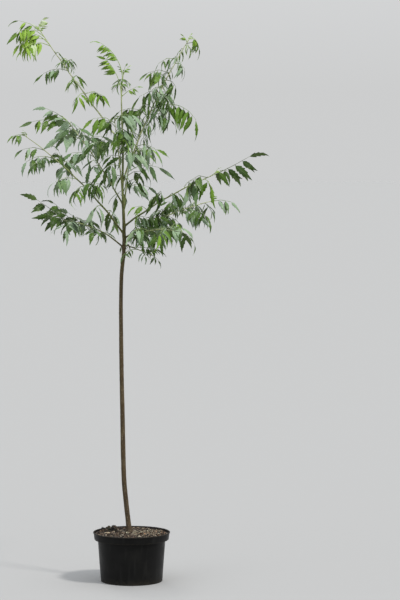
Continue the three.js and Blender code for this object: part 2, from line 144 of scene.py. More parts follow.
def tube_faces(rows, sides):
    """Quads round a tube, and a fan of triangles at each end. The tube's points are its rings, and
    then the pole at its foot and the pole at its tip."""
    here = np.arange(sides)
    beside = (here + 1) % sides
    foot = np.stack([np.full(sides, rows * sides), beside, here], -1)
    last = (rows - 1) * sides
    tip = np.stack([np.full(sides, rows * sides + 1), last + here, last + beside], -1)
    return [grid_quads(rows, sides), np.concatenate([foot, tip])]


def copies(groups, count, stride, start=0):
    """Each group of faces for every one of count shapes, whose points follow one another, stride apart."""
    shift = (start + np.arange(count) * stride)[:, None, None]
    return [(group[None] + shift).reshape(-1, group.shape[1]) for group in groups]


def once_round(sides):
    """Angles at equal steps once round, from 0."""
    return np.arange(sides) * 2 * np.pi / sides


def tube_points(centre, side, up, radius):
    """Ring point = centre + radius · (side · cos angle + up · sin angle), the angle once round in
    equal steps. The poles are the first and the last centre. Works on any stack of tubes."""
    angle = once_round(radius.shape[-1])[:, None]
    out = side[..., None, :] * np.cos(angle) + up[..., None, :] * np.sin(angle)
    rings = centre[..., None, :] + radius[..., None] * out
    flat = rings.reshape(*rings.shape[:-3], -1, 3)
    return np.concatenate([flat, centre[..., :1, :], centre[..., -1:, :]], axis=-2)


print("a tube of 3 rings of 5 has", sum(map(len, tube_faces(3, 5))), "faces")

# %% [markdown]
# ## Unevenness that is the same every time
#
# Nothing that grew or was handled is even. Noise on a lattice gives that: every whole-numbered place has
# a fixed number, worked out from the place itself, and the numbers are blended smoothly in between. The
# same place always gives the same number, so the model comes out alike on every run.

# %% Smooth noise, and a seeded run of numbers
LOW_BITS = 0xFFFFFFFF


def lattice_number(cell, seed):
    """A fixed number from 0 to 1 for each whole-numbered place: its parts are multiplied by large odd
    numbers, added and mixed by shifts, in 32 bits."""
    a, b, c = ((cell[..., i] & LOW_BITS).astype(np.uint64) for i in range(3))
    stirred = (a * 374761393 + b * 668265263 + c * 2246822519 + seed * 974634777) & LOW_BITS
    for shift, factor in ((15, 2246822519), (13, 3266489917)):
        stirred = ((stirred ^ (stirred >> shift)) * factor) & LOW_BITS
    return (stirred ^ (stirred >> 16)) / (LOW_BITS + 1)


def noise(place, seed):
    """From -1 to 1: the eight lattice numbers round a place, blended by 3t² - 2t³ along each axis."""
    cell = np.floor(place).astype(np.int64)
    share = place - cell
    share = share * share * (3 - 2 * share)
    total = 0
    for corner in np.ndindex(2, 2, 2):
        weight = np.prod(np.where(corner, share, 1 - share), axis=-1)
        total = total + weight * lattice_number(cell + np.array(corner), seed)
    return 2 * total - 1


def seeded_draws(seed):
    """The run of numbers from 0 to 1 that the solids' own growing rule draws from this seed."""
    state = seed

    def draw():
        nonlocal state
        state = (state + 0x6D2B79F5) & LOW_BITS
        t = ((state ^ (state >> 15)) * (state | 1)) & LOW_BITS
        t ^= (t + (((t ^ (t >> 7)) * (t | 61)) & LOW_BITS)) & LOW_BITS
        return (t ^ (t >> 14)) / (LOW_BITS + 1)

    return draw


first = seeded_draws(101)
print("first draws of seed 101:", [round(first(), 6) for _ in range(3)])

# %% [markdown]
# ## Finishes from shader nodes
#
# A finish is a small network: coordinates fixed to the object go through noise, the noise picks from a
# few colours and roughens the surface, and marks that the mesh carries add what has a place of its own,
# such as the pale pores of the bark. Values that are alike everywhere sit on the shader itself.

# %% A small kit for building finishes
def new_finish(name, colour, roughness, specular=None):
    """A Principled finish with plain values on its own sockets."""
    finish = bpy.data.materials.new(name)
    finish.use_nodes = True
    shader = finish.node_tree.nodes["Principled BSDF"]
    shader.inputs["Base Color"].default_value = (*colour, 1)
    shader.inputs["Roughness"].default_value = roughness
    if specular is not None:
        shader.inputs["Specular IOR Level"].default_value = specular
    finish.diffuse_color = (*colour, 1)
    return finish


def wire(finish, kind, inputs, out=0, **options):
    """Adds one shader node, feeds each input a value or another node's output, and returns its output."""
    made = finish.node_tree.nodes.new("ShaderNode" + kind)
    for option, value in options.items():
        setattr(made, option, value)
    for key, value in inputs.items():
        if isinstance(value, bpy.types.NodeSocket):
            finish.node_tree.links.new(value, made.inputs[key])
        else:
            made.inputs[key].default_value = value
    return made.outputs[out]


def grain(finish, scale, stretch=(1, 1, 1), detail=3):
    """Noise in object coordinates. A stretch under 1 along an axis draws the grain out along it."""
    place = wire(finish, "TexCoord", {}, "Object")
    place = wire(finish, "Mapping", {"Vector": place, "Scale": stretch})
    return wire(finish, "TexNoise", {"Vector": place, "Scale": scale, "Detail": detail}, "Fac")


def span(finish, value, low, high, to_low=0.0, to_high=1.0):
    """Maps low..high to to_low..to_high and stops at both ends."""
    inputs = {"Value": value, "From Min": low, "From Max": high, "To Min": to_low, "To Max": to_high}
    return wire(finish, "MapRange", inputs)


def shades(finish, share, stops):
    """A colour ramp through stops of (place, colour)."""
    colour = wire(finish, "ValToRGB", {"Fac": share})
    steps = colour.node.color_ramp.elements
    while len(steps) < len(stops):
        steps.new(0.5)
    for step, (place, tone) in zip(steps, stops):
        step.position, step.color = place, (*tone, 1)
    return colour


def painted_over(finish, colour, coats):
    """Lays coats of (share, tone) over a colour: each hides it where its share is 1."""
    for share, tone in coats:
        colour = wire(finish, "Mix", {0: share, 6: colour, 7: (*tone, 1)}, 2, data_type="RGBA")
    return colour


def product(finish, first, second):
    """first · second."""
    return wire(finish, "Math", {0: first, 1: second}, operation="MULTIPLY")


def added(finish, first, second):
    """first + second."""
    return wire(finish, "Math", {0: first, 1: second}, operation="ADD")


def marked(finish, key):
    """A number that the mesh carries for each point."""
    return wire(finish, "Attribute", {}, "Fac", attribute_name=key)


def finish_off(finish, colour, roughness=None, height=None, depth=0.0, strength=0.0):
    """Joins the worked-out colour, roughness and height to the shader. The bump is depth metres deep."""
    joins = {"Base Color": colour, "Roughness": roughness}
    if height is not None:
        bump = {"Height": height, "Distance": depth, "Strength": strength}
        joins["Normal"] = wire(finish, "Bump", bump, "Normal")
    shader = finish.node_tree.nodes["Principled BSDF"]
    for socket, value in joins.items():
        if value is not None:
            finish.node_tree.links.new(value, shader.inputs[socket])
    return finish


print("the kit adds nodes such as", grain.__name__, "and", shades.__name__)

# %% [markdown]
# ## The pot
#
# A nursery pot is injection moulded from black polypropylene, two millimetres thick. It tapers, so that
# pots stack, and a stepped band under the rim stiffens it. A lathe profile carried round the axis gives
# that shape: the profile goes up the outside, over the rim bead and down the inside. Each corner gets a
# small radius, because no mould has a sharp edge, and the wall is a little out of round, as thin plastic
# full of damp compost is. The floor has a ring of drainage holes, each set in its own sector of quads.

# %% The pot's sizes and profile
POT_HEIGHT, RIM, FOOT, SHOULDER = 180.0, 140.0, 112.0, 123.0
BAND_FOOT, BAND_LOW, BAND_HIGH = 153.0, 135.6, 138.0
WALL, FLOOR_TOP = 2.0, 2.5
DRAIN_HOLES, DRAIN_RADIUS, DRAIN_CIRCLE = 8, 7.0, 88.0
DRAIN_INNER, DRAIN_OUTER = 76.0, 100.0
POT_SIDES = 192

# Radius, height and corner radius, outside from the drainage sectors, over the rim and down inside.
POT_PROFILE = [
    (DRAIN_OUTER, 0, 0), (FOOT - 1.6, 0, 1.2), (FOOT, 1.6, 1.2), (FOOT + 1.2, 17, 6),
    (SHOULDER, BAND_FOOT - 1.8, 2.2), (BAND_LOW - 1, BAND_FOOT - 0.4, 1.6), (BAND_LOW, BAND_FOOT + 1.6, 1.2),
    (BAND_HIGH, POT_HEIGHT - 4.6, 0.6), (RIM, POT_HEIGHT - 3.7, 0.7), (RIM, POT_HEIGHT - 0.9, 0.9),
    (RIM - 1.1, POT_HEIGHT, 0.7), (RIM - 3, POT_HEIGHT, 0.7), (BAND_HIGH - WALL, POT_HEIGHT - 1.2, 0.8),
    (BAND_LOW - WALL - 0.1, BAND_FOOT + 3.2, 1.5), (SHOULDER - WALL + 0.2, BAND_FOOT + 0.6, 2),
    (FOOT - WALL, FLOOR_TOP + 2, 2.4), (FOOT - WALL - 2.4, FLOOR_TOP, 1.5), (DRAIN_OUTER, FLOOR_TOP, 0),
]


def rounded_profile(profile, longest=5.0, arc_points=5):
    """Straight runs split into steps no longer than longest, and each corner swapped for the curve
    (1-t)²·before + 2t(1-t)·corner + t²·after, where before and after lie the corner radius away."""
    rows = np.array(profile, float)
    ends, corner = rows[:, :2], rows[:, 2]
    t = np.linspace(0, 1, arc_points)[:, None]
    out = [ends[:1]]
    for i in range(1, len(ends) - 1):
        back, on = ends[i - 1] - ends[i], ends[i + 1] - ends[i]
        reach = min(corner[i], 0.45 * np.linalg.norm(back), 0.45 * np.linalg.norm(on))
        before = ends[i] + back / np.linalg.norm(back) * reach
        after = ends[i] + on / np.linalg.norm(on) * reach
        out.append((1 - t) ** 2 * before + 2 * t * (1 - t) * ends[i] + t**2 * after)
    path = np.concatenate([*out, ends[-1:]])
    lengths = np.linalg.norm(np.diff(path, axis=0), axis=1)
    steps = np.maximum(1, np.ceil(lengths / longest)).astype(int)
    parts = [np.linspace(a, b, n, endpoint=False) for a, b, n in zip(path[:-1], path[1:], steps)]
    return np.concatenate([*parts, path[-1:]])


def turned(profile, sides):
    """A lathe surface: (radius · cos a, radius · sin a, height) with a once round."""
    angle = once_round(sides)
    ring = np.stack([np.cos(angle), np.sin(angle), np.ones(sides)], -1)
    radius, height = np.array(profile, float).T
    return np.stack([radius, radius, height], -1)[:, None] * ring


pot_profile = rounded_profile(POT_PROFILE)
print("pot profile:", len(pot_profile), "places")

# %% The floor's ring of drainage holes
HOLE_ROWS, SECTOR_RUNGS = 4, 8


def holed_sector(turn, height):
    """One sector of the drainage ring. Row k of its points lies k/rows of the way from the hole's edge
    to the sector's outline, seen from the middle of the hole."""
    half = np.pi / DRAIN_HOLES
    arc = np.linspace(-half, half, POT_SIDES // DRAIN_HOLES + 1)
    rungs = np.linspace(DRAIN_INNER, DRAIN_OUTER, SECTOR_RUNGS + 1)
    along = np.ones(len(arc) - 1)
    reach = np.concatenate([DRAIN_OUTER * along, rungs[:0:-1], DRAIN_INNER * along, rungs[:-1]])
    ends = np.full(SECTOR_RUNGS, half)
    bearing = np.concatenate([arc[:-1], ends, arc[:0:-1], -ends]) + turn
    outline = np.stack([reach * np.cos(bearing), reach * np.sin(bearing)], -1)
    middle = DRAIN_CIRCLE * np.array([np.cos(turn), np.sin(turn)])
    away = outline - middle
    edge = middle + DRAIN_RADIUS * away / np.linalg.norm(away, axis=1, keepdims=True)
    share = np.linspace(0, 1, HOLE_ROWS + 1)[:, None, None]
    flat = edge * (1 - share) + outline * share
    return np.concatenate([flat, np.full((*flat.shape[:2], 1), height)], -1)


def drainage_grids():
    """For each hole, its sector of the underside and of the floor's top, and the wall of the hole."""
    grids = []
    for turn in once_round(DRAIN_HOLES) + np.pi / DRAIN_HOLES:
        under, top = holed_sector(turn, 0.0), holed_sector(turn, FLOOR_TOP)
        grids += [under, top, np.stack([under[0], top[0]])]
    return grids


print("drainage floor:", len(drainage_grids()), "grids round", DRAIN_HOLES, "holes")

# %% Black plastic, dusty and scuffed
PLASTIC_TONES = [(0.3, (0.0022, 0.0022, 0.0021)), (0.55, (0.0036, 0.0036, 0.0034)),
                 (0.8, (0.0070, 0.0068, 0.0060))]
DUST_TONE, SCUFF_TONE = (0.032, 0.027, 0.019), (0.018, 0.018, 0.017)


def black_plastic():
    """Satin black, a little browner and duller where dust and soil cling: near the ground, on the ledge
    of the band and along the rim. Upright scuffs are greyer."""
    finish = new_finish("pot_black_plastic", (0.004, 0.004, 0.004), 0.4, 0.12)
    dust = span(finish, product(finish, marked(finish, "dust"), grain(finish, 90, detail=5)), 0.16, 0.62)
    scuffs = span(finish, grain(finish, 60, (1, 1, 0.12), 4), 0.56, 0.74)
    patches = shades(finish, grain(finish, 14, detail=4), PLASTIC_TONES)
    coats = [(product(finish, dust, 0.7), DUST_TONE), (product(finish, scuffs, 0.3), SCUFF_TONE)]
    smooth = span(finish, grain(finish, 30, detail=5), 0.3, 0.7, 0.33, 0.50)
    rough = added(finish, smooth, product(finish, dust, 0.4))
    fine = grain(finish, 420, detail=4)
    return finish_off(finish, painted_over(finish, patches, coats), rough, fine, 0.0004, 0.35)


pot_plastic = black_plastic()
print("black plastic:", len(pot_plastic.node_tree.nodes), "shader nodes")

# %% The pot's shell
OUT_OF_ROUND = 0.7
FIRM_FOOT, FIRM_ABOVE_RIM, FIRM_REACH = 20.0, 12.0, 60.0
WAVER_TURNS, WAVER_HEIGHT = 1.6, 70.0
DISH_HEIGHT, DISC_EDGE = 0.9, 66
UNDER_RADII, LID_RADII = (61, 40, 20, 3, 0), (40, 20, 3, 0)
DUST_BASE = 0.18
DUST_AT_GROUND, DUST_REACH = 0.75, 14.0
DUST_LINES = [(BAND_FOOT, 0.45), (POT_HEIGHT, 0.8)]
DUST_LINE_WIDTH, CLEAN_RADIUS = 3.0, 60.0


def bell(distance, width):
    """1 in the middle, falling away on both sides as e to the minus (distance / width) squared."""
    return np.exp(-((distance / width) ** 2))


def wavering(points):
    """Thin plastic isn't quite round: the wall moves in and out by a slow noise, little of it at the rim
    and none at the ground, so that the pot stands flat."""
    height = points[:, 2]
    from_rim = np.clip((POT_HEIGHT + FIRM_ABOVE_RIM - height) / FIRM_REACH, 0, 1)
    fade = np.clip(height / FIRM_FOOT, 0, 1) * from_rim
    out = points[:, :2] / np.maximum(np.linalg.norm(points[:, :2], axis=1, keepdims=True), 1)
    place = np.stack([out[:, 0] * WAVER_TURNS, out[:, 1] * WAVER_TURNS, height / WAVER_HEIGHT], -1)
    moved = points.copy()
    moved[:, :2] += out * (OUT_OF_ROUND * fade * noise(place, 11))[:, None]
    return moved


def build_pot():
    """The wall and two discs are turned, and the drainage sectors stand between them. Dust is marked:
    it dies away from the ground up, and has a bell of its own at the band's ledge and at the rim."""
    under = [(DRAIN_INNER, 0), (DISC_EDGE, 0), *((radius, DISH_HEIGHT) for radius in UNDER_RADII)]
    lid = [(radius, FLOOR_TOP) for radius in (DRAIN_INNER, DISC_EDGE, *LID_RADII)]
    grids = [turned(profile, POT_SIDES) for profile in (pot_profile, under, lid)] + drainage_grids()
    starts = np.cumsum([0] + [grid[..., 0].size for grid in grids])
    quads = [grid_quads(*grid.shape[:2]) + start for grid, start in zip(grids, starts)]
    points = wavering(np.concatenate([grid.reshape(-1, 3) for grid in grids]))
    height, radius = points[:, 2], np.linalg.norm(points[:, :2], axis=1)
    dust = DUST_BASE + DUST_AT_GROUND * np.exp(-height / DUST_REACH)
    for line, amount in DUST_LINES:
        dust = dust + amount * bell(height - line, DUST_LINE_WIDTH)
    return make_piece("pot_shell", points, quads, [pot_plastic],
                      marks={"dust": np.clip(dust, 0, 1) * (radius > CLEAN_RADIUS)})


pot_piece = build_pot()

# %% [markdown]
# ## Closing the seams
#
# The wall, the floor's sectors and the discs meet in rows of points that lie on each other. They are
# merged, so that the shell is closed, and then all faces are turned outwards.

# %% Weld the pot
def weld(piece, reach=0.02):
    """Merges points within reach millimetres of each other and turns every face outwards."""
    shell = bmesh.new()
    shell.from_mesh(piece.data)
    bmesh.ops.remove_doubles(shell, verts=shell.verts, dist=reach * MM)
    bmesh.ops.recalc_face_normals(shell, faces=shell.faces)
    open_edges = sum(not edge.is_manifold for edge in shell.edges)
    shell.to_mesh(piece.data)
    shell.free()
    piece.data.set_sharp_from_angle(angle=math.radians(SHARP_EDGE))
    print(f"{piece.name}: {len(piece.data.vertices)} points after welding, {open_edges} open edges")


weld(pot_piece)
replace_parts(pot_piece, "pot")

# %% [markdown]
# ## The compost
#
# Potting compost is fine dark peat and bark with coarser bits on top. It was watered in, so it lies a
# finger's width under the rim, a little higher round the stem and in a heap at the back. Its surface is
# a disc of rings whose height adds the solids' own mound and waves to noise of three sizes: clods,
# crumbs and grains. The sides and the underside follow the pot's inside, since they show through the
# drainage holes.

# %% The height of the compost at any place
SOIL_LEVEL, SOIL_RADIUS = 172.0, 134.7
SOIL_MOUND, SOIL_REACH = 4.0, 60.0
HEAP_RISE, HEAP_WIDTH, HEAP_MIDDLE = 9.5, 34.0, (-74.0, 72.0)
STEM_FOOT = np.array([-7.5, 0.0])
SOIL_WAVES = [(0.052, 0.061, 0.4, 1.5), (-0.083, 0.097, 1.9, 1.1), (0.171, -0.119, 3.1, 0.7)]
CLOD_SIZES = [(17.0, 1.7), (6.5, 1.2), (2.8, 0.55)]
CALM_EDGE, CALM_REACH, CALMEST = 6.0, 14.0, 0.25


def soil_height(x, y):
    """Level + a mound that fades as e to the minus distance squared + three crossed waves + clods + the
    heap. The clods fade out towards the pot's wall."""
    x, y = np.atleast_1d(x, y)
    rise = SOIL_MOUND * bell(np.hypot(x - STEM_FOOT[0], y - STEM_FOOT[1]), SOIL_REACH)
    for a, b, phase, size in SOIL_WAVES:
        rise = rise + size * np.sin(a * x + phase) * np.cos(b * y + phase)
    fade = np.clip((SOIL_RADIUS + CALM_EDGE - np.hypot(x, y)) / CALM_REACH, CALMEST, 1)
    for seed, (width, size) in enumerate(CLOD_SIZES, start=40):
        clod = noise(np.stack([x / width, y / width, np.full_like(x, 0.5)], -1), seed)
        rise = rise + size * fade * (1 - 2 * np.abs(clod))
    heap = HEAP_RISE * bell(np.hypot(x - HEAP_MIDDLE[0], y - HEAP_MIDDLE[1]), HEAP_WIDTH)
    return SOIL_LEVEL + rise + heap


print("compost at the stem's foot:", round(float(soil_height(*STEM_FOOT)[0]), 1), "mm above the ground")

# %% Compost surface and body
SOIL_RINGS, SOIL_SECTORS = 92, 288
CLOSER_TO_RIM = 0.86
SOIL_FOOT = FLOOR_TOP + 0.3
# Radius and height up the side, just inside the pot.
SOIL_SIDE = [(3, SOIL_FOOT), (60, SOIL_FOOT), (107, SOIL_FOOT), (109.4, 5.0), (115, 80), (120.5, 153.9),
             (133, 156.6), (134.6, 167)]
# Peat tones along the bump's noise: the darkest stops fall in its hollows and are painted shade, the palest
# are dry crumbs.
SOIL_AND_HOLLOW_SHADE_TONES = [(0.25, (0.007, 0.005, 0.004)), (0.45, (0.018, 0.012, 0.008)),
              (0.6, (0.034, 0.023, 0.015)), (0.8, (0.070, 0.052, 0.036))]


def damp_compost():
    """Dark peat, paler where crumbs have dried, and rough all over. Colour and bump share one noise, so the
    bump's hollows come out almost black: painted shade.
    """
    finish = new_finish("compost_damp_peat", (0.035, 0.024, 0.016), 0.92, 0.25)
    fine, coarse = grain(finish, 520, detail=5), grain(finish, 95, detail=4)
    share = added(finish, product(finish, fine, 0.5), product(finish, coarse, 0.5))
    rough = span(finish, coarse, 0.35, 0.65, 0.8, 0.97)
    return finish_off(finish, shades(finish, share, SOIL_AND_HOLLOW_SHADE_TONES), rough, share, 0.0012, 0.8)


def build_compost():
    """The underside and sides are turned from a profile, and the top's rings get the soil's height."""
    rings = SOIL_RADIUS * (1 - np.arange(SOIL_RINGS) / SOIL_RINGS) ** CLOSER_TO_RIM
    top = turned(np.stack([rings, np.zeros(SOIL_RINGS)], -1), SOIL_SECTORS)
    top[..., 2] = soil_height(top[..., 0], top[..., 1])
    grid = np.concatenate([turned(SOIL_SIDE, SOIL_SECTORS), top])
    poles = [[0, 0, SOIL_FOOT], [0, 0, soil_height(0.0, 0.0)[0]]]
    points = np.concatenate([grid.reshape(-1, 3), poles])
    faces = tube_faces(len(grid), SOIL_SECTORS)
    return make_piece("compost_surface", points, faces, [damp_compost()], sharp=70)


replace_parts(build_compost(), "compost")

# %% [markdown]
# ## Crumbs, grit, chips of bark and dry leaf bits
#
# What makes compost look like compost is the loose stuff on top: crumbs of peat, grey and pinkish grit,
# flat chips of bark, a few brown scraps of leaf. Each kind is one small closed shape, bent and turned
# by seeded numbers and laid on the surface at the height found above. All of a kind go into one mesh,
# and each scrap is given one of a few plain tones, because a pattern would be lost at that size.

# %% Scatter places on the surface
STREWN_RADIUS, KEPT_RADIUS, STEM_GAP = 126.0, 130.0, 16.0
KNOCKS = 0.16


def scattered(count, seed, middle=None, spread=None):
    """Places on the compost: evenly over the disc, or gathered round a middle. A place that falls
    outside the pot, or in the stem, is left out."""
    draw = np.random.default_rng(seed)
    if middle is None:
        reach, bearing = STREWN_RADIUS * np.sqrt(draw.random(count)), 2 * np.pi * draw.random(count)
        x, y = reach * np.cos(bearing), reach * np.sin(bearing)
    else:
        x, y = (draw.normal(m, spread, count) for m in middle)
    from_stem = np.hypot(x - STEM_FOOT[0], y - STEM_FOOT[1])
    kept = (np.hypot(x, y) < KEPT_RADIUS) & (from_stem > STEM_GAP)
    x, y = x[kept], y[kept]
    return np.stack([x, y, soil_height(x, y)], -1), draw


def turned_about(angles):
    """Turning matrices from three angles each: about z, then about y, then about x."""
    (ca, cb, cc), (sa, sb, sc) = np.cos(angles).T, np.sin(angles).T
    zero, one = np.zeros_like(ca), np.ones_like(ca)
    about_z = [ca, -sa, zero, sa, ca, zero, zero, zero, one]
    about_y = [cb, zero, sb, zero, one, zero, -sb, zero, cb]
    about_x = [one, zero, zero, zero, cc, -sc, zero, sc, cc]
    z, y, x = (np.stack(rows, -1).reshape(-1, 3, 3) for rows in (about_z, about_y, about_x))
    return z @ y @ x


def strewn(name, shape, places_and_draw, sizes, tilt, tones, odds, roughness, bend=0.0, lift=0.3):
    """One mesh of many scraps: shape · size, bent up by bend · x², knocked out of shape, turned any
    way about the vertical and tilted a little, and set on its place. Tones are dealt by the odds."""
    (template, faces), (places, draw) = shape, places_and_draw
    count, size = len(places), sizes(draw, len(places))
    scraps = template[None] * size[:, None]
    scraps = scraps + KNOCKS * size.min(axis=1)[:, None, None] * draw.normal(size=scraps.shape)
    scraps[..., 2] += bend * draw.uniform(-1, 1, (count, 1)) * scraps[..., 0] ** 2
    angles = np.stack([draw.uniform(0, 2 * np.pi, count), *draw.normal(0, tilt, (2, count))], -1)
    scraps = np.einsum("nij,npj->npi", turned_about(angles), scraps)
    scraps += places[:, None] + np.array([0, 0, 1]) * (lift * size[:, 2])[:, None, None]
    dealt = draw.choice(len(tones), count, p=odds)
    which = np.concatenate([np.repeat(dealt, len(group)) for group in faces])
    finishes = [new_finish(f"{name}_{tone}", colour, roughness, 0.3) for tone, colour in tones.items()]
    all_faces = copies(faces, count, len(template))
    return make_piece(name, scraps.reshape(-1, 3), all_faces, finishes, which)


print("places kept of 100:", len(scattered(100, 1)[0]))

# %% The shapes of a crumb and of a chip
LUMP_ROWS, LUMP_SIDES, CHIP_COLUMNS = 3, 6, 5


def lump():
    """A pebble: rings at even steps of angle from pole to pole, radius sin a and height cos a."""
    angle = np.linspace(0, np.pi, LUMP_ROWS + 2)[1:-1]
    rings = turned(np.stack([np.sin(angle), -np.cos(angle)], -1), LUMP_SIDES)
    points = np.concatenate([rings.reshape(-1, 3), [[0, 0, -1], [0, 0, 1]]])
    return points, tube_faces(LUMP_ROWS, LUMP_SIDES)


def chip():
    """A flat chip along x: a four-sided tube, wide and thin, that narrows at both ends."""
    x = np.linspace(-1, 1, CHIP_COLUMNS)[:, None]
    ring = np.array([[1, -1], [1, 1], [-1, 1], [-1, -1]], float)
    width = (1 - 0.35 * x**2 + 0.1 * np.sin(5 * x)) * ring[:, 0]
    rows = np.stack(np.broadcast_arrays(x, width, ring[:, 1]), -1)
    points = np.concatenate([rows.reshape(-1, 3), [[-1.05, 0, 0], [1.05, 0, 0]]])
    return points, tube_faces(CHIP_COLUMNS, 4)


LUMP, CHIP = lump(), chip()
print("a crumb has", sum(map(len, LUMP[1])), "faces and a chip", sum(map(len, CHIP[1])))

# %% Crumbs of peat and grit
CRUMB_TONES = {"black": (0.008, 0.006, 0.005), "brown": (0.030, 0.020, 0.012),
               "dry": (0.110, 0.086, 0.060), "rust": (0.060, 0.036, 0.020)}
GRIT_TONES = {"grey": (0.145, 0.130, 0.090), "pinkish": (0.180, 0.138, 0.094),
              "pale": (0.330, 0.300, 0.215)}
CLOD_TONES = {"black": (0.010, 0.009, 0.007), "mossy": (0.018, 0.021, 0.011),
              "brown": (0.035, 0.023, 0.014)}


def crumb_sizes(low, high):
    """Few large crumbs among many small: low + (high - low) · draw³, and each axis 0.6 to 1.2 of that."""
    def sizes(draw, n):
        large = (low + (high - low) * draw.random(n) ** 3)[:, None]
        return large * draw.uniform(0.6, 1.2, (n, 3))
    return sizes


strewn("compost_crumbs", LUMP, scattered(1500, 51), crumb_sizes(0.9, 4.6), 1.0,
       CRUMB_TONES, [0.38, 0.38, 0.18, 0.06], 0.93)
strewn("compost_grit", LUMP, scattered(720, 52, (42, 2), 48), crumb_sizes(0.9, 4.0), 1.0,
       GRIT_TONES, [0.5, 0.38, 0.12], 0.85)
strewn("compost_clods", LUMP, scattered(90, 53, (-74, 68), 24), crumb_sizes(2.5, 8.5), 1.0,
       CLOD_TONES, [0.45, 0.25, 0.3], 0.95)

# %% Chips of bark and scraps of leaf
CHIP_TONES = {"dark": (0.035, 0.020, 0.012), "brown": (0.066, 0.042, 0.024),
              "tan": (0.24, 0.17, 0.10), "weathered": (0.20, 0.165, 0.13)}
SCRAP_TONES = {"orange": (0.190, 0.090, 0.036), "brown": (0.110, 0.056, 0.026), "straw": (0.36, 0.27, 0.15)}
PALE_TONE = {"pale": (0.42, 0.35, 0.24)}
PALE_CHIP_PLACE, PALE_CHIP_SIZE = (-88.0, -16.0), (11.5, 5.0, 1.2)


def chip_sizes(low, high):
    """Half length = low + (high - low) · draw², half width a share of that, and half a thickness."""
    def sizes(draw, n):
        long = low + (high - low) * draw.random(n) ** 2
        return np.stack([long, long * draw.uniform(0.3, 0.6, n), draw.uniform(0.5, 1.1, n)], -1)
    return sizes


def scrap_sizes(draw, n):
    """Half length, half width and half thickness of scraps as thin as a dry leaf."""
    return np.stack([draw.uniform(4, 9, n), draw.uniform(2, 4, n), np.full(n, 0.18)], -1)


strewn("bark_chips", CHIP, scattered(330, 54), chip_sizes(1.8, 7.5), 0.28,
       CHIP_TONES, [0.36, 0.34, 0.1, 0.2], 0.85, bend=0.02, lift=0.8)
strewn("large_chips", CHIP, scattered(16, 55, (-20, -70), 62), chip_sizes(6.0, 12.5), 0.2,
       CHIP_TONES, [0.1, 0.2, 0.45, 0.25], 0.8, bend=0.01, lift=1.1)
pale_place = np.array([[*PALE_CHIP_PLACE, soil_height(*PALE_CHIP_PLACE)[0] + 2.0]])
strewn("pale_chip", CHIP, (pale_place, np.random.default_rng(58)),
       lambda draw, n: np.full((n, 3), PALE_CHIP_SIZE), 0.12, PALE_TONE, [1.0], 0.8, lift=1.6)
strewn("leaf_scraps", CHIP, scattered(22, 56, (78, -30), 34), scrap_sizes, 0.35,
       SCRAP_TONES, [0.35, 0.4, 0.25], 0.7, bend=0.05, lift=6.0)

# %% [markdown]
# ## The stem
#
# The stem is two or three years old: finger thick at the foot, a pencil's thickness in the crown. It
# wanders a few millimetres from side to side, as a sapling does that was grown in a row. Its centre line
# is a smooth curve through named bends, the same as in the solids, and its radius follows a taper table,
# with the root flare added as a curve that dies away in a few centimetres.

# %% The stem's line and thickness
STEM_BOTTOM, STEM_TOP = 174.0, 1738.0
# Height, and how far right and back the stem's middle is there.
STEM_BENDS = np.array([
    (STEM_BOTTOM, -7.5, 0), (280, -19, 1), (380, -27.5, 2), (600, -32.5, 2), (930, -37, 0),
    (1110, -35, -1), (1215, -25.5, 0), (1370, -28, 1), (1440, -31, 1), (1535, -29, 0),
    (STEM_TOP, -34, 2)])
STEM_TAPER = np.array([
    (STEM_BOTTOM, 9.2), (700, 8.1), (1190, 6.6), (1380, 4.7), (1560, 3.4), (STEM_TOP, 2.3)])
FLARE, FLARE_REACH = 5.5, 13.0


def stem_centre(z):
    """A cubic through the bends: at each bend the slope is that of the line from its lower to its upper
    neighbour. Gives x, y, z for each height."""
    z = np.atleast_1d(np.asarray(z, float))
    heights, bends, count = STEM_BENDS[:, 0], STEM_BENDS[:, 1:], len(STEM_BENDS)
    low, high = np.maximum(np.arange(count) - 1, 0), np.minimum(np.arange(count) + 1, count - 1)
    slope = (bends[high] - bends[low]) / (heights[high] - heights[low])[:, None]
    k = np.clip(np.searchsorted(heights, z) - 1, 0, count - 2)
    reach = (heights[k + 1] - heights[k])[:, None]
    t = (z[:, None] - heights[k, None]) / reach
    place = ((2 * t**3 - 3 * t**2 + 1) * bends[k] + (t**3 - 2 * t**2 + t) * reach * slope[k]
             + (3 * t**2 - 2 * t**3) * bends[k + 1] + (t**3 - t**2) * reach * slope[k + 1])
    return np.concatenate([place, z[:, None]], axis=1)


def stem_radius(z):
    """The taper table read straight between its rows, and the flare, which dies away as e to the minus
    height above the foot / its reach."""
    z = np.asarray(z, float)
    return np.interp(z, *STEM_TAPER.T) + FLARE * np.exp(-(z - STEM_BOTTOM) / FLARE_REACH)


print("stem radius at the foot, the middle and the tip:", stem_radius([174, 900, 1738]).round(2))

# %% [markdown]
# ## Where the shoots stand
#
# Eleven shoots leave the stem between 1.2 and 1.6 metres, and one more grows on from its tip. Each row
# below starts with the height on the stem, the compass (0 to the right, 90 away from the camera), the
# rise at foot and tip, the length, the foot's radius, the bare share, how far its leaflets hang, and a
# seed. Its leaves follow: place along the shoot, compass, rise, bend, length, leaflet length and, for a
# few, the share of bare stalk. They are the solids' own rows, so that the fine crown fills the same space.

# %% The shoots and their leaves
PETIOLE_SHARE = 0.3

Shoot = namedtuple("Shoot", "height compass rise_foot rise_tip length radius bare hang seed")
Leaf = namedtuple("Leaf", "place compass rise bend length blade petiole", defaults=(PETIOLE_SHARE,))

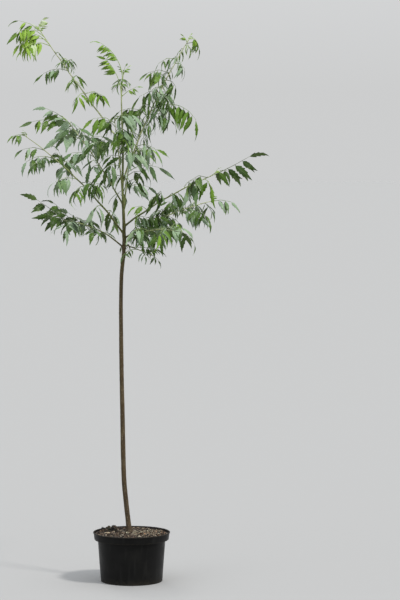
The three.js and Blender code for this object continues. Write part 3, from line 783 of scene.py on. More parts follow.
SHOOT_ROWS = {
    "upper_left": ((1585, 162, 51, 54, 534, 3.2, 0.42, 50, 101), [
        (1.0, 60, 71, 40, 42, 32), (0.98, 190, 45, 40, 84, 46), (0.87, 190, 53, 70, 122, 54),
        (0.85, 222, 25, 60, 122, 60), (0.79, 300, 20, 60, 46, 46), (0.68, 95, 45, 60, 90, 48),
        (0.64, 188, 21, 55, 90, 54), (0.58, 300, 34, 70, 50, 48), (0.53, 110, 35, 60, 90, 52),
        (0.45, 235, 5, 60, 50, 60), (0.44, 322, 27, 60, 88, 60),
    ]),
    "mid_left": ((1367, 142, 55, 43, 400, 3.0, 0.24, 46, 102), [
        (1.0, 188, 16, 30, 132, 54), (0.95, 165, 52, 35, 112, 50), (0.89, 212, 66, 60, 80, 87),
        (0.84, 85, 35, 60, 140, 71), (0.77, 205, 28, 50, 104, 71), (0.71, 350, 72, 90, 72, 78),
        (0.63, 100, 30, 60, 130, 69), (0.56, 192, 35, 50, 84, 69), (0.46, 225, 7, 60, 58, 58),
    ]),
    "left": ((1262, 205, 53, 33, 525, 3.6, 0.17, 54, 103), [
        (1.0, 215, 20, 40, 45, 36), (0.83, 192, 27, 50, 76, 50), (0.76, 290, 30, 60, 100, 54),
        (0.72, 202, 32, 70, 116, 58), (0.65, 120, 74, 30, 60, 50), (0.6, 105, 35, 60, 130, 58),
        (0.52, 216, 20, 50, 88, 62), (0.44, 250, 12, 50, 108, 62), (0.41, 60, 40, 60, 100, 56),
        (0.26, 246, 14, 50, 62, 76),
    ]),
    "low_left": ((1213, 195, 44, 4, 255, 3.0, 0.24, 40, 104), [
        (0.97, 180, 44, 12, 120, 62), (0.89, 214, 26, 22, 92, 70), (0.83, 262, 24, 44, 96, 62),
        (0.74, 150, 52, 30, 62, 54), (0.66, 88, 30, 50, 120, 58), (0.5, 260, 8, 36, 52, 48),
    ]),
    "upper_right": ((1448, 25, 70, 56, 588, 3.4, 0.14, 62, 105), [
        (1.0, 335, 26, 110, 48, 38), (0.85, 200, 22, 70, 76, 46), (0.82, 335, 16, 90, 48, 52),
        (0.75, 192, 30, 60, 84, 54), (0.66, 236, 5, 60, 70, 71), (0.61, 205, 20, 60, 84, 73),
        (0.56, 75, 45, 70, 130, 73), (0.52, 290, 8, 60, 76, 73), (0.48, 348, 40, 100, 196, 80),
        (0.44, 198, 52, 80, 118, 76), (0.39, 105, 40, 70, 140, 71), (0.31, 215, 40, 70, 90, 73),
        (0.24, 328, 31, 70, 86, 76),
    ]),
    "right": ((1291, 345, 37, 21, 395, 3.6, 0.26, 70, 106), [
        (0.99, 350, 24, -6, 138, 70), (0.94, 45, 38, 60, 110, 60), (0.88, 300, 0, 60, 60, 79),
        (0.8, 235, 8, 60, 60, 84), (0.66, 70, 42, 60, 130, 68), (0.5, 310, 55, 100, 62, 64),
        (0.46, 225, 55, 100, 66, 64),
    ]),
    "low_right_front": ((1228, 305, 26, -6, 330, 3.0, 0.18, 54, 107), [
        (1.0, 322, 4, 40, 66, 62), (0.84, 262, 20, 60, 90, 62), (0.73, 352, 30, 50, 80, 60),
        (0.57, 298, 0, 50, 74, 62), (0.47, 20, 28, 60, 96, 56), (0.42, 232, 45, 70, 62, 60),
        (0.3, 345, 16, 50, 74, 56),
    ]),
    "low_right_back": ((1248, 32, 28, 10, 405, 3.2, 0.2, 52, 108), [
        (0.97, 8, 17, 36, 76, 56), (0.76, 85, 30, 60, 116, 58), (0.72, 322, 4, 40, 92, 60),
        (0.62, 338, 12, 50, 84, 60), (0.55, 50, 38, 50, 96, 54), (0.47, 118, 35, 60, 126, 60),
        (0.4, 310, 24, 60, 70, 58),
    ]),
    "lowest_right": ((1226, 340, -16, -22, 112, 2.2, 0.2, 44, 109), [
        (0.98, 330, -18, 30, 34, 34), (0.66, 285, 5, 40, 62, 36), (0.3, 352, 6, 26, 96, 36),
    ]),
    "front": ((1372, 258, 72, 62, 330, 3.0, 0.2, 54, 110), [
        (1.0, 15, 52, 70, 66, 73), (0.96, 190, 46, 70, 84, 73), (0.86, 290, 34, 60, 84, 71),
        (0.72, 200, 30, 60, 88, 73), (0.6, 335, 28, 60, 84, 73), (0.45, 215, 22, 60, 74, 73),
    ]),
    "back": ((1335, 84, 58, 34, 330, 3.2, 0.2, 52, 111), [
        (1.0, 88, 40, 50, 130, 71), (0.86, 40, 42, 60, 126, 71), (0.74, 132, 40, 60, 130, 71),
        (0.6, 5, 38, 60, 116, 71), (0.47, 165, 38, 60, 104, 69), (0.36, 20, 32, 60, 88, 67),
    ]),
    "leader": ((1738, 20, 90, 81, 104, 2.2, 0, 42, 112), [
        (0.98, 60, 80, 30, 30, 26), (0.7, 272, 36, 60, 74, 40), (0.5, 95, 40, 60, 90, 42),
        (0.55, 205, 100, 75, 185, 38, 0.5), (0.2, 340, 45, 30, 70, 28, 0.45),
        (0.12, 205, 92, 50, 158, 40, 0.58),
    ]),
}
SHOOTS = {name: (Shoot(*shoot), [Leaf(*row) for row in rows]) for name, (shoot, rows) in SHOOT_ROWS.items()}
print(len(SHOOTS), "shoots with", sum(len(leaves) for _, leaves in SHOOTS.values()), "leaves")

# %% [markdown]
# ## Bark
#
# Young bark is smooth but never plain. Pores, called lenticels, stand out as pale dots. Each fallen leaf
# left a shield-shaped scar with a bud over it, and the bark swells into a collar round every shoot. Low
# down, fine cracks have begun to open. All of this is real height in the mesh, found at each point from
# its distance round and along the limb, and the same numbers are kept as marks for the finish to colour.

# %% Relief that young bark has
SCAR_WIDE, SCAR_TALL, SCAR_RIM, BUD_ABOVE = 2.5, 1.9, 0.85, 4.4


def rough_noise(place, seed, layers=3):
    """Noise plus half as much of it twice as fine, and so on for each layer."""
    return sum(noise(place * 2**k, seed + k) / 2**k for k in range(layers))


def pores(around, along, cells, tall, seed):
    """Pale dots: the limb is ruled into cells, some of which hold a pore at a place given by lattice
    numbers. around runs 0 to 1 once round, along is in millimetres, and each dot is a small bell."""
    u, v = around * cells, along / tall
    total = np.zeros(np.broadcast(u, v).shape)
    for du, dv in np.ndindex(3, 3):
        i, j = np.floor(u) + du - 1, np.floor(v) + dv - 1
        cell = np.stack(np.broadcast_arrays(i % cells, j, np.zeros_like(total)), -1).astype(np.int64)
        here, right, up, large = (lattice_number(cell, seed + k) for k in range(4))
        gap = np.hypot(u - i - 0.25 - 0.5 * right, v - j - 0.2 - 0.6 * up)
        total += (here > 0.5) * bell(gap, 0.14 + 0.1 * large)
    return np.clip(total, 0, 1)


def leaf_scar(round_by, along_by, size):
    """A raised shield with a hollow middle and a bud just above it: (relief in mm, mark from 0 to 1)."""
    reach = np.hypot(round_by / (SCAR_WIDE * size), along_by / (SCAR_TALL * size))
    shield = bell(reach - SCAR_RIM, 0.42) * (reach < 2.2)
    bud = bell(np.hypot(round_by, along_by - BUD_ABOVE * size), 1.5 * size)
    return size * (0.55 * shield + 0.9 * bud), np.clip(bell(reach, 0.9) + 0.5 * bud, 0, 1)


print("a scar's rim stands", round(float(leaf_scar(2.1, 0.0, 1.0)[0]), 2), "mm proud")

# %% Bark finish
# Tones by age. The browns of the old, lower stem are partly the bark's own dark brown and partly painted
# shade.
BARK_AGE_AND_SHADE_TONES = [(0.0, (0.052, 0.033, 0.014)), (0.3, (0.060, 0.044, 0.018)), (0.5, (0.068, 0.072, 0.020)),
              (0.68, (0.104, 0.130, 0.032)), (0.85, (0.225, 0.255, 0.105)), (1.0, (0.330, 0.360, 0.200))]
STREAK_TONE, FILM_TONE, CRACK_TONE = (0.030, 0.024, 0.012), (0.118, 0.088, 0.052), (0.022, 0.016, 0.011)
SCAR_TONE, PORE_TONE, SOIL_TONE = (0.135, 0.105, 0.065), (0.270, 0.235, 0.160), (0.045, 0.033, 0.022)


def young_bark(name, roughness, streak):
    """Colour by age, brown through olive to green, with streaks along the limb, a pale film on old bark,
    pale pores, tan scars and dark cracks where the mesh is marked, and soil splashed up from below. The
    browns of old bark are darker than its own colour: partly painted shade."""
    finish = new_finish(name, (0.08, 0.08, 0.04), roughness, 0.18)
    youth, streaks = marked(finish, "youth"), grain(finish, 210, (1, 1, streak), 4)
    blotches = span(finish, grain(finish, 34, (1, 1, 0.4), 3), 0.3, 0.7, -0.09, 0.09)
    film = span(finish, grain(finish, 55, (1, 1, 0.5), 5), 0.48, 0.72, 0.0, 0.4)
    dark = span(finish, streaks, 0.35, 0.7, 0.0, 0.5)
    coats = [
        (product(finish, dark, span(finish, youth, 0.35, 0.9, 1.0, 0.3)), STREAK_TONE),
        (product(finish, film, span(finish, youth, 0.1, 0.6, 1.0, 0.15)), FILM_TONE),
        (marked(finish, "cracks"), CRACK_TONE),
        (span(finish, marked(finish, "scars"), 0.3, 0.9, 0.0, 0.7), SCAR_TONE),
        (span(finish, marked(finish, "pores"), 0.3, 0.8, 0.0, 0.8), PORE_TONE),
        (product(finish, marked(finish, "soil"), 0.75), SOIL_TONE),
    ]
    colour = painted_over(finish, shades(finish, added(finish, youth, blotches), BARK_AGE_AND_SHADE_TONES), coats)
    rough = span(finish, streaks, 0.3, 0.7, roughness - 0.08, roughness + 0.12)
    return finish_off(finish, colour, rough, streaks, 0.0004, 0.5)


stem_bark = young_bark("bark_young_stem", 0.66, 0.1)
green_wood = young_bark("green_wood_shoots", 0.5, 0.25)
print("bark finish:", len(stem_bark.node_tree.nodes), "shader nodes")

# %% The stem's surface
STEM_ROWS, STEM_SIDES = 1040, 48
SWELLING, BARK_GRAIN, CRACK_DEPTH, PORE_RISE = 0.3, 0.10, 0.28, 0.34
CRACKED_BELOW, CRACKED_FULLY = 1250.0, 450.0
SCAR_HEIGHTS, SCAR_SWAY = np.arange(236, 1722, 43.0), 9.0
LARGE_SCARS_BELOW, LARGE_SCAR, SMALL_SCAR = 1300.0, 0.9, 0.62
GOLDEN_TURN = math.radians(137.5)
ROOT_LOBES, LOBE_REACH = 1.1, 15.0
COLLAR_FACING, COLLAR_ROUND, COLLAR_HEIGHT = 1.5, 0.35, 9.0
SPLASH_REACH = 26.0
STEM_YOUTH = np.array([
    (STEM_BOTTOM, 0), (900, 0.12), (1190, 0.34), (1430, 0.6), (1600, 0.82), (STEM_TOP, 0.95)])


def stem_relief(angle, z, radius):
    """Height in millimetres over the plain stem, and the marks: pores, scars and cracks."""
    ring = np.stack(np.broadcast_arrays(np.cos(angle) * radius, np.sin(angle) * radius, z), -1)
    old = np.clip((CRACKED_BELOW - z) / (CRACKED_BELOW - CRACKED_FULLY), 0, 1)
    where = np.clip(noise(ring / [14, 14, 60], 66) + 0.6, 0, 1)
    cracks = bell(noise(ring / [1.9, 1.9, 26], 65), 0.13) * old * where
    dots = pores(angle / (2 * np.pi), z, 9, 6.5, 70)
    height = SWELLING * noise(ring / [9, 9, 70], 61) + BARK_GRAIN * rough_noise(ring / [2.2, 2.2, 9], 62)
    height = height - CRACK_DEPTH * cracks + PORE_RISE * dots
    lobes = np.cos(4 * angle + 0.7) + 0.6 * np.cos(7 * angle + 2.1)
    height = height + ROOT_LOBES * lobes * np.exp(-(z - STEM_BOTTOM) / LOBE_REACH)
    scars = np.zeros_like(height)
    for k, place in enumerate(SCAR_HEIGHTS):
        place = place + SCAR_SWAY * np.sin(2.3 * k)
        size = LARGE_SCAR if place < LARGE_SCARS_BELOW else SMALL_SCAR
        round_by = radius * (np.mod(angle - k * GOLDEN_TURN + np.pi, 2 * np.pi) - np.pi)
        relief, mark = leaf_scar(round_by, z - place, size)
        height, scars = height + relief, np.maximum(scars, mark * (np.abs(z - place) < 12))
    for shoot, _ in SHOOTS.values():
        facing = np.clip(np.cos(angle - math.radians(shoot.compass)), 0, 1)
        collar = (COLLAR_FACING * facing**2 + COLLAR_ROUND) * bell(z - shoot.height, COLLAR_HEIGHT)
        height = height + collar * (shoot.height < STEM_TOP - COLLAR_HEIGHT)
    return height, {"pores": dots, "scars": scars, "cracks": cracks}


def build_limb(name, points, marks, finish):
    """A tube from its points and its marks. Each pole takes the marks of the ring beside it."""
    rows, sides = marks["pores"].shape
    marks = {key: np.append(value.ravel(), value[[0, -1], 0]) for key, value in marks.items()}
    return make_piece(name, points, tube_faces(rows, sides), [finish], marks=marks)


def build_stem():
    """Rings round the centre line, pushed out by the relief. The foot is a flat cut in the compost."""
    z = np.linspace(STEM_BOTTOM, STEM_TOP, STEM_ROWS)[:, None]
    plain = stem_radius(z)
    relief, marks = stem_relief(once_round(STEM_SIDES)[None], z, plain)
    centre = stem_centre(z[:, 0])
    side, up = (np.broadcast_to(axis, centre.shape) for axis in ([1.0, 0, 0], [0, 1.0, 0]))
    points = tube_points(centre, side, up, plain + relief * np.clip(plain / 6, 0.4, 1))
    marks["youth"] = np.broadcast_to(np.interp(z, *STEM_YOUTH.T), relief.shape)
    marks["soil"] = np.broadcast_to(np.exp(-(z - STEM_BOTTOM) / SPLASH_REACH), relief.shape)
    return build_limb("stem", points, marks, stem_bark)


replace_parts(build_stem(), "trunk")

# %% [markdown]
# ## Shoots
#
# A shoot is this year's or last year's growth: it leaves the stem at an angle, keeps its compass and
# bends a little under its leaves. The path is the solids' own: it advances in even steps while its rise
# goes evenly from the foot's value to the tip's. Bare limb and leafy stem are one unbroken tube here,
# swollen at each leaf, with the same kinds of relief as the stem, finer.

# %% Paths and places along them
SHOOT_STEPS, SHOOT_TIP_RADIUS = 24, 1.1


def mixed(low, high, share):
    """low + (high - low) · share."""
    return low + (high - low) * share


def unit(vectors):
    """Each vector divided by its own length."""
    return vectors / np.linalg.norm(vectors, axis=-1, keepdims=True)


def outward(compass, lift=0.0):
    """A step to the compass bearing, and lift upwards."""
    return np.array([math.cos(math.radians(compass)), math.sin(math.radians(compass)), lift])


def bent_path(foot, compass, rise_foot, rise_tip, length, steps):
    """Stations at equal steps. Direction = outward · cos rise + upward · sin rise, and each step uses
    the rise at its own middle. Side is level, and up stands square to both."""
    out = outward(compass)
    rise = np.radians(mixed(rise_foot, rise_tip, np.linspace(0, 1, 2 * steps + 1)))
    forward = np.cos(rise)[:, None] * out + np.sin(rise)[:, None] * [0, 0, 1]
    moves = forward[1::2] * length / steps
    at = foot + np.concatenate([np.zeros((1, 3)), np.cumsum(moves, axis=0)])
    return {"at": at, "forward": forward[::2], "side": np.array([-out[1], out[0], 0.0])}


def stations(path, share):
    """Place, forward, side and up at any shares of a path, straight between its stations."""
    share = np.atleast_1d(np.asarray(share, float))
    last = len(path["at"]) - 1
    place = np.clip(share, 0, 1) * last
    k = np.minimum(np.floor(place).astype(int), last - 1)
    t = (place - k)[:, None]
    at = path["at"][k] * (1 - t) + path["at"][k + 1] * t
    forward = unit(path["forward"][k] * (1 - t) + path["forward"][k + 1] * t)
    side = np.broadcast_to(path["side"], at.shape)
    return at, forward, side, np.cross(forward, side)


def station(path, share):
    """The same for one share."""
    return [values[0] for values in stations(path, share)]


shoot_paths = {}
for name, (shoot, _) in SHOOTS.items():
    shoot_paths[name] = bent_path(stem_centre(shoot.height)[0], shoot.compass, shoot.rise_foot,
                                  shoot.rise_tip, shoot.length, SHOOT_STEPS)
print("the highest shoot tip is at", round(max(p["at"][-1][2] for p in shoot_paths.values())), "mm")

# %% Shoot surfaces
SHOOT_ROW_STEP, SHOOT_SIDES = 2.4, 16
SHOOT_COLLAR, SHOOT_COLLAR_REACH = 1.2, 5.0
SHOOT_SWELLING, SHOOT_PORE_RISE = 0.12, 0.16
LEAF_SWELLING, LEAF_SWELLING_REACH, LEAF_SCAR_AHEAD = 0.25, 2.6, 1.5
SWAY, SWAY_LENGTH, ROUNDED_TIP = 0.35, 19.0, 2.0
YOUTH_AT_FOOT = np.array([(1200, 0.40), (1300, 0.52), (1450, 0.80), (1585, 0.94)])


def build_shoot(name):
    """A tube along the path. Radius = taper + a collar that dies away from the stem + a bell at each
    leaf + relief, and it rounds off over the last two millimetres. Its line sways between the leaves."""
    shoot, leaves = SHOOTS[name]
    share = np.linspace(0, 1, int(shoot.length / SHOOT_ROW_STEP))[:, None]
    along, to_tip = share * shoot.length, (1 - share) * shoot.length
    angle = once_round(SHOOT_SIDES)[None]
    plain = mixed(shoot.radius, SHOOT_TIP_RADIUS, share)
    if shoot.height < STEM_TOP:
        bare = np.clip(along - stem_radius(shoot.height), 0, None)
        plain = plain + SHOOT_COLLAR * np.exp(-bare / SHOOT_COLLAR_REACH)
    ring = np.stack(np.broadcast_arrays(np.cos(angle) * plain, np.sin(angle) * plain, along), -1)
    dots = pores(angle / (2 * np.pi), along, 6, 5.5, shoot.seed)
    relief = SHOOT_SWELLING * noise(ring / [2.5, 2.5, 16], shoot.seed) + SHOOT_PORE_RISE * dots
    scars = np.zeros_like(relief)
    for leaf in leaves:
        gap = along - leaf.place * shoot.length
        relief = relief + (LEAF_SWELLING + 0.18 * plain) * bell(gap, LEAF_SWELLING_REACH)
        scars = np.maximum(scars, 0.6 * bell(gap - LEAF_SCAR_AHEAD, 1.3))
    tip = np.sqrt(np.clip(to_tip / ROUNDED_TIP, 0.02, 1))
    sway = SWAY * plain * np.sin(along / SWAY_LENGTH + shoot.seed)
    sway = sway * np.clip(along / 60, 0, 1) * np.clip(to_tip / 30, 0, 1)
    at, _, side, up = stations(shoot_paths[name], share[:, 0])
    radius = (plain + relief * np.clip(plain / 2.4, 0.3, 1)) * tip
    start, none = np.interp(shoot.height, *YOUTH_AT_FOOT.T), np.zeros_like(dots)
    marks = {"pores": 0.8 * dots, "scars": scars, "cracks": none, "soil": none,
             "youth": np.broadcast_to(mixed(start, 1.0, share**0.8), dots.shape)}
    points = tube_points(at + up * sway, side, up, radius)
    return build_limb(f"shoot_{name}", points, marks, green_wood)


for name in SHOOTS:
    shoot_piece = build_shoot(name)
    if f"bough_{name}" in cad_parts:
        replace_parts(shoot_piece, f"bough_{name}")

# %% [markdown]
# ## The growing rule
#
# A compound leaf has a long stalk, the rachis, with leaflets in pairs and one at its end. The solids grew
# each leaf by a seeded rule, and the same rule is written here with the same draws in the same order, so
# every stalk and leaflet comes back in its place. Finer growth is then added inside that reach: a second
# pair of leaflets between each two on the larger leaves, a little stalk under each leaflet, more leaves
# between the solids' ones and near the stem, and a tuft of young leaves at the end of every shoot. Draws
# for what is new come from runs of numbers of their own.

# %% Stalks and leaflets by the seeded rule
TWIG_STEP, PAIR_SPACING = 36.0, 0.55
STALK_SHARE, END_STALK_SHARE = 0.06, 0.04
END_WIDTH = 0.85
SMALLEST_PAIR, PAIR_GAIN, LAST_PAIR = 0.86, 0.28, 0.96
BETWEEN_DROOP, BETWEEN_SIZE = 8, 0.94
STALKLET_RADIUS, STALKLET_GAIN = 0.42, 0.003
# The ranges that draws are spread over: degrees, shares of the leaflet's length and of the stalk.
DROOPS, SWEEPS, TURNS, HEADINGS = (-14, 14), (12, 30), (-22, 22), (-6, 6)
GROWTH, SLIPS = (0.86, 1.1), (-0.012, 0.012)
END_DIPS, END_TURNS, END_ROLLS, END_GROWTH = (8, 30), (-25, 25), (25, 70), (0.95, 1.15)

Crown = namedtuple("Crown", "stalks leaflets stalklets buds")
Rule = namedtuple("Rule", "crown mass hang draw extra")


def whole(value):
    """The nearest whole number, and the upper one for a half."""
    return math.floor(value + 0.5)


def add_leaflet(rule, root, forward, side, length, turn, tone, width, stalk=STALK_SHARE):
    """Keeps one leaflet: its foot stands a short stalk away from its root, and its tip where it was."""
    foot = root + forward * stalk * length
    own_tone = shifted(tone, rule.extra)
    radius = STALKLET_RADIUS + STALKLET_GAIN * length
    rule.crown.stalklets.append((rule.mass, root, foot, radius, own_tone))
    rule.crown.leaflets.append((rule.mass, foot, forward, side, (1 - stalk) * length, turn, own_tone, width))


def add_pair(rule, path, share, hang, size, tone, width, draw):
    """Two leaflets that hang by an angle and sweep forward. The draws are those of the solids' rule."""
    for hand in (1, -1):
        droop = math.radians(hang + mixed(*DROOPS, draw()))
        sweep = math.radians(mixed(*SWEEPS, draw()))
        grown = size * mixed(*GROWTH, draw())
        turn = math.radians(mixed(*TURNS, draw()))
        at, ahead, side, up = station(path, share + mixed(*SLIPS, draw()))
        out = side * hand * math.cos(droop) - up * math.sin(droop)
        forward = unit(out * math.cos(sweep) + ahead * math.sin(sweep))
        across = unit((ahead - forward * np.dot(forward, ahead)) * -hand)
        add_leaflet(rule, at, forward, across, grown, turn, tone, width)


def grow_leaf(rule, root, leaf, tone, width, between):
    """The solids' leaf: a bent stalk, pairs of leaflets and one at its end. Where between is true, a
    finer pair is added halfway to the next one, with draws of its own."""
    draw, extra = rule.draw, rule.extra
    heading = leaf.compass + mixed(*HEADINGS, draw())
    steps = min(max(whole(leaf.length / TWIG_STEP), 2), 5)
    path = bent_path(root, heading, leaf.rise, leaf.rise - leaf.bend, leaf.length, steps)
    rule.crown.stalks.append((rule.mass, path, leaf.length, tone))
    pairs = max(1, whole((1 - leaf.petiole) * leaf.length / (PAIR_SPACING * leaf.blade)))
    for i in range(pairs):
        swell = math.sin(math.pi * min((i + 1) / (pairs + 0.6), 1))
        size = leaf.blade * (SMALLEST_PAIR + PAIR_GAIN * swell)
        share = mixed(leaf.petiole, LAST_PAIR, (i + 0.25) / pairs)
        add_pair(rule, path, share, rule.hang, size, tone, width, draw)
        if between:
            share = mixed(leaf.petiole, LAST_PAIR, (i + 0.75) / pairs)
            add_pair(rule, path, share, rule.hang + BETWEEN_DROOP, BETWEEN_SIZE * size, tone, width, extra)
    at, ahead, side, up = station(path, 1.0)
    dip = math.radians(mixed(*END_DIPS, draw()))
    forward = unit(ahead * math.cos(dip) - up * math.sin(dip))
    grown = leaf.blade * mixed(*END_GROWTH, draw())
    turn, rolled = mixed(*END_TURNS, draw()), mixed(*END_ROLLS, extra())
    turn = math.radians(turn + rolled if extra() < 0.5 else turn - rolled)
    add_leaflet(rule, at, forward, side, grown, turn, tone, END_WIDTH * width, END_STALK_SHARE)


print("a leaf row gives", ", ".join(Leaf._fields))

# %% [markdown]
# ## Which green goes where
#
# The crown is dealt a mix of greens, and some of them stand for light: the deep tone is partly painted
# shade, blue-grey is partly and the last tone wholly a painted sheen of the sky, mid and bright green are
# partly a painted glow of leaves lit from behind, and lime to almost white sits at the tips. Each shoot has
# its own odds for these tones, and what the odds leave over is the painted sheen's share. A leaf draws one
# tone, and some of its leaflets go one step lighter or darker, or take the painted sheen or lose it.

# %% Tones and their odds
# The last tone is a painted sheen of the sky, put into a plain base colour.
DEEP, MATURE, BLUE_GREY, MID, BRIGHT, LIME, PALE, PAINTED_SKY_SHEEN = range(8)
# The painted sheen: how often a leaflet of the three darkest tones takes it, and how a sheen leaf's leaflets
# lose it or darken.
SHEEN_ODDS = (0.05, 0.10, 0.25)
SHEEN_LOST, SHEEN_DARKENED, SHEEN_FROM = 0.25, 0.88, 0.4
STEP_ODDS, LIGHTER_ODDS = 0.17, 0.75
# Keeps a draw inside odds that add up to 1.
JUST_UNDER_ONE = 0.9999
AT_TIP, NEAR_TIP, SMALL_BLADE = 0.985, 0.84, 40

# Odds of the five darker tones, odds of a finer leaf between two, how broad the leaflets are, from what
# leaflet length on a leaf gets finer pairs, steps lighter near the tip, how broad the leaflets at the
# tip are, the tip's tone, and young leaves in the tuft.
Look = namedtuple("Look", "odds finer broad pairs_from lighter tip_broad tip_tone young",
                  defaults=(56, 0, 1.4, None, 1))
LOOKS = {
    "upper_left": Look((0, 0.06, 0.08, 0.46, 0.40), 0.2, 1.15, 48, 1, 1.9, PALE, 3),
    "mid_left": Look((0.04, 0.08, 0.20, 0.08, 0), 0.6, 1.6, 90, 1),
    "left": Look((0.25, 0.25, 0.20, 0.12, 0), 0.7, 1.4, 59, 1),
    "low_left": Look((0.55, 0.20, 0.10, 0, 0), 0.5, 2.1, 90),
    "upper_right": Look((0.06, 0.22, 0.32, 0.10, 0), 1.0, 0.9, 50, 1, 1.5, BRIGHT, 2),
    "right": Look((0.20, 0.18, 0.18, 0.22, 0), 0.6, 1.65, 90, 1, 1.6),
    "low_right_front": Look((0.10, 0.20, 0.28, 0.10, 0), 0.8, 1.25),
    "low_right_back": Look((0.30, 0.25, 0.20, 0.05, 0), 0.8, 1.25),
    "lowest_right": Look((0.45, 0.35, 0.10, 0.10, 0), 0.5, 1.3, 90),
    "front": Look((0.08, 0.24, 0.28, 0.18, 0), 1.0, 1.15),
    "back": Look((0.20, 0.40, 0.12, 0.25, 0), 0.7, 1.15, 90, 1),
    "leader": Look((0, 0.05, 0.05, 0.35, 0.55), 0.0, 1.35, 36, 1, 1.4, BRIGHT, 3),
}


def dealt_tone(look, leaf, extra):
    """Draws a tone by the shoot's odds, and moves it lighter near a young shoot's tip."""
    tone = int(np.searchsorted(np.cumsum(look.odds), extra() * JUST_UNDER_ONE))
    if leaf.place > AT_TIP and look.tip_tone is not None:
        return look.tip_tone
    if tone == len(look.odds):
        return PAINTED_SKY_SHEEN
    if leaf.place > NEAR_TIP or leaf.blade < SMALL_BLADE:
        tone += look.lighter * (extra() < LIGHTER_ODDS)
    return min(tone, PALE)


def shifted(tone, extra):
    """The leaf's own tone, the next lighter or darker one for one leaflet in three, and a painted sheen of
    the sky on some leaflets of the three darkest tones."""
    drawn = extra()
    if tone == PAINTED_SKY_SHEEN:
        return BLUE_GREY if drawn < SHEEN_LOST else MATURE if drawn > SHEEN_DARKENED else PAINTED_SKY_SHEEN
    if tone < len(SHEEN_ODDS) and SHEEN_FROM < drawn < SHEEN_FROM + SHEEN_ODDS[tone]:
        return PAINTED_SKY_SHEEN
    step = -1 if drawn < STEP_ODDS else 1 if drawn > 1 - STEP_ODDS else 0
    return min(max(tone + step, DEEP), PALE)


print("odds of the sheen:", {name: round(1 - sum(look.odds), 2) for name, look in LOOKS.items()})

# %% Leaves that are added, and the whole crown
ADDED_LEAVES = {
    "upper_right": [(0.965, 350, 40, 120, 58, 40), (0.95, 300, 34, 110, 46, 38), (0.75, 185, 10, 70, 44, 52),
                    (0.70, 0, 5, 80, 46, 56), (0.65, 175, 15, 70, 50, 60), (0.60, 350, 0, 80, 44, 60),
                    (0.55, 10, 5, 70, 60, 62), (0.46, 350, 20, 70, 88, 64)],
    "upper_left": [(0.93, 205, 48, 80, 110, 52), (0.905, 192, 18, 58, 104, 50)],
    "low_left": [(0.34, 275, 35, 60, 54, 46), (0.42, 205, 42, 60, 50, 44), (0.86, 170, 52, 14, 92, 46)],
    "low_right_front": [(0.23, 300, 34, 50, 66, 54), (0.35, 280, 26, 55, 66, 54),
                        (0.12, 330, 42, 60, 84, 54), (0.06, 322, 78, 88, 118, 56)],
    "low_right_back": [(0.21, 305, 34, 45, 78, 54), (0.33, 272, 30, 55, 70, 54),
                       (0.45, 292, 24, 50, 74, 54), (0.14, 345, 30, 55, 84, 56),
                       (0.30, 350, 26, 60, 80, 56), (0.09, 338, 70, 78, 134, 58)],
    "right": [(0.10, 318, 34, 50, 84, 54), (0.16, 275, 30, 60, 72, 52), (0.27, 210, 55, 80, 50, 44),
              (0.44, 262, 80, 118, 88, 56)],
}
CLOSEST_LEAVES, LONGEST_FINER, FINER_BEND = 0.025, 105, 65
TOWARDS_CAMERA, AWAY_FROM_CAMERA = 270, 90
FINER_COMPASS, FINER_RISES, FINER_SIZES = (-55, 55), (15, 55), (0.8, 1.05)
YOUNG_RISES, YOUNG_LENGTHS, YOUNG_BLADES = (52, 82), (20, 34), (13, 19)
YOUNG_BEND, YOUNG_BROAD, YOUNG_HANG, MOST_YOUNG = 26, 1.4, 0.7, 3
YOUNG_START, YOUNG_TURN, YOUNG_STEP = 35, 140, 0.012
BUD_AHEAD, BUD_OUT, BUD_LEAN, BUD_LIFT = 2.4, 0.8, 1.2, 0.9
TIP_BUD, TIP_BUD_SUNK = 1.25, 0.8


def finer_leaves(name, extra):
    """Leaves halfway between each two of the solids', towards the camera or away from it by turns, and one
    before the first. They have the mean size of their neighbours, so they stay inside the mass."""
    shoot, leaves = SHOOTS[name]
    rows = sorted(leaves, key=lambda leaf: leaf.place)
    before = max(shoot.bare, 2 * rows[0].place - rows[1].place)
    rows.insert(0, rows[0]._replace(place=before))
    finer = []
    for k, (low, high) in enumerate(zip(rows[:-1], rows[1:])):
        if high.place - low.place < CLOSEST_LEAVES or extra() > LOOKS[name].finer:
            continue
        compass = TOWARDS_CAMERA if k % 2 else AWAY_FROM_CAMERA
        compass = compass + mixed(*FINER_COMPASS, extra())
        length = mixed(*FINER_SIZES, extra()) * (low.length + high.length) / 2
        blade = mixed(*FINER_SIZES, extra()) * (low.blade + high.blade) / 2
        rise = mixed(*FINER_RISES, extra())
        place = (low.place + high.place) / 2
        finer.append(Leaf(place, compass, rise, FINER_BEND, min(length, LONGEST_FINER), blade))
    return finer


def grow_tuft(rule, name):
    """Up to three young leaves that stand steeply round the shoot's tip."""
    (shoot, _), look, extra = SHOOTS[name], LOOKS[name], rule.extra
    young = rule._replace(hang=shoot.hang * YOUNG_HANG, draw=extra)
    for k in range(MOST_YOUNG):
        rise, length = mixed(*YOUNG_RISES, extra()), mixed(*YOUNG_LENGTHS, extra())
        blade = mixed(*YOUNG_BLADES, extra())
        compass = shoot.compass + YOUNG_TURN * k + YOUNG_START
        leaf = Leaf(1.0, compass, rise, YOUNG_BEND, length, blade)
        tone = min(MID + look.lighter + (extra() < 0.5), PALE)
        if k < look.young:
            root = station(shoot_paths[name], AT_TIP - YOUNG_STEP * k)[0]
            grow_leaf(young, root, leaf, tone, YOUNG_BROAD, False)


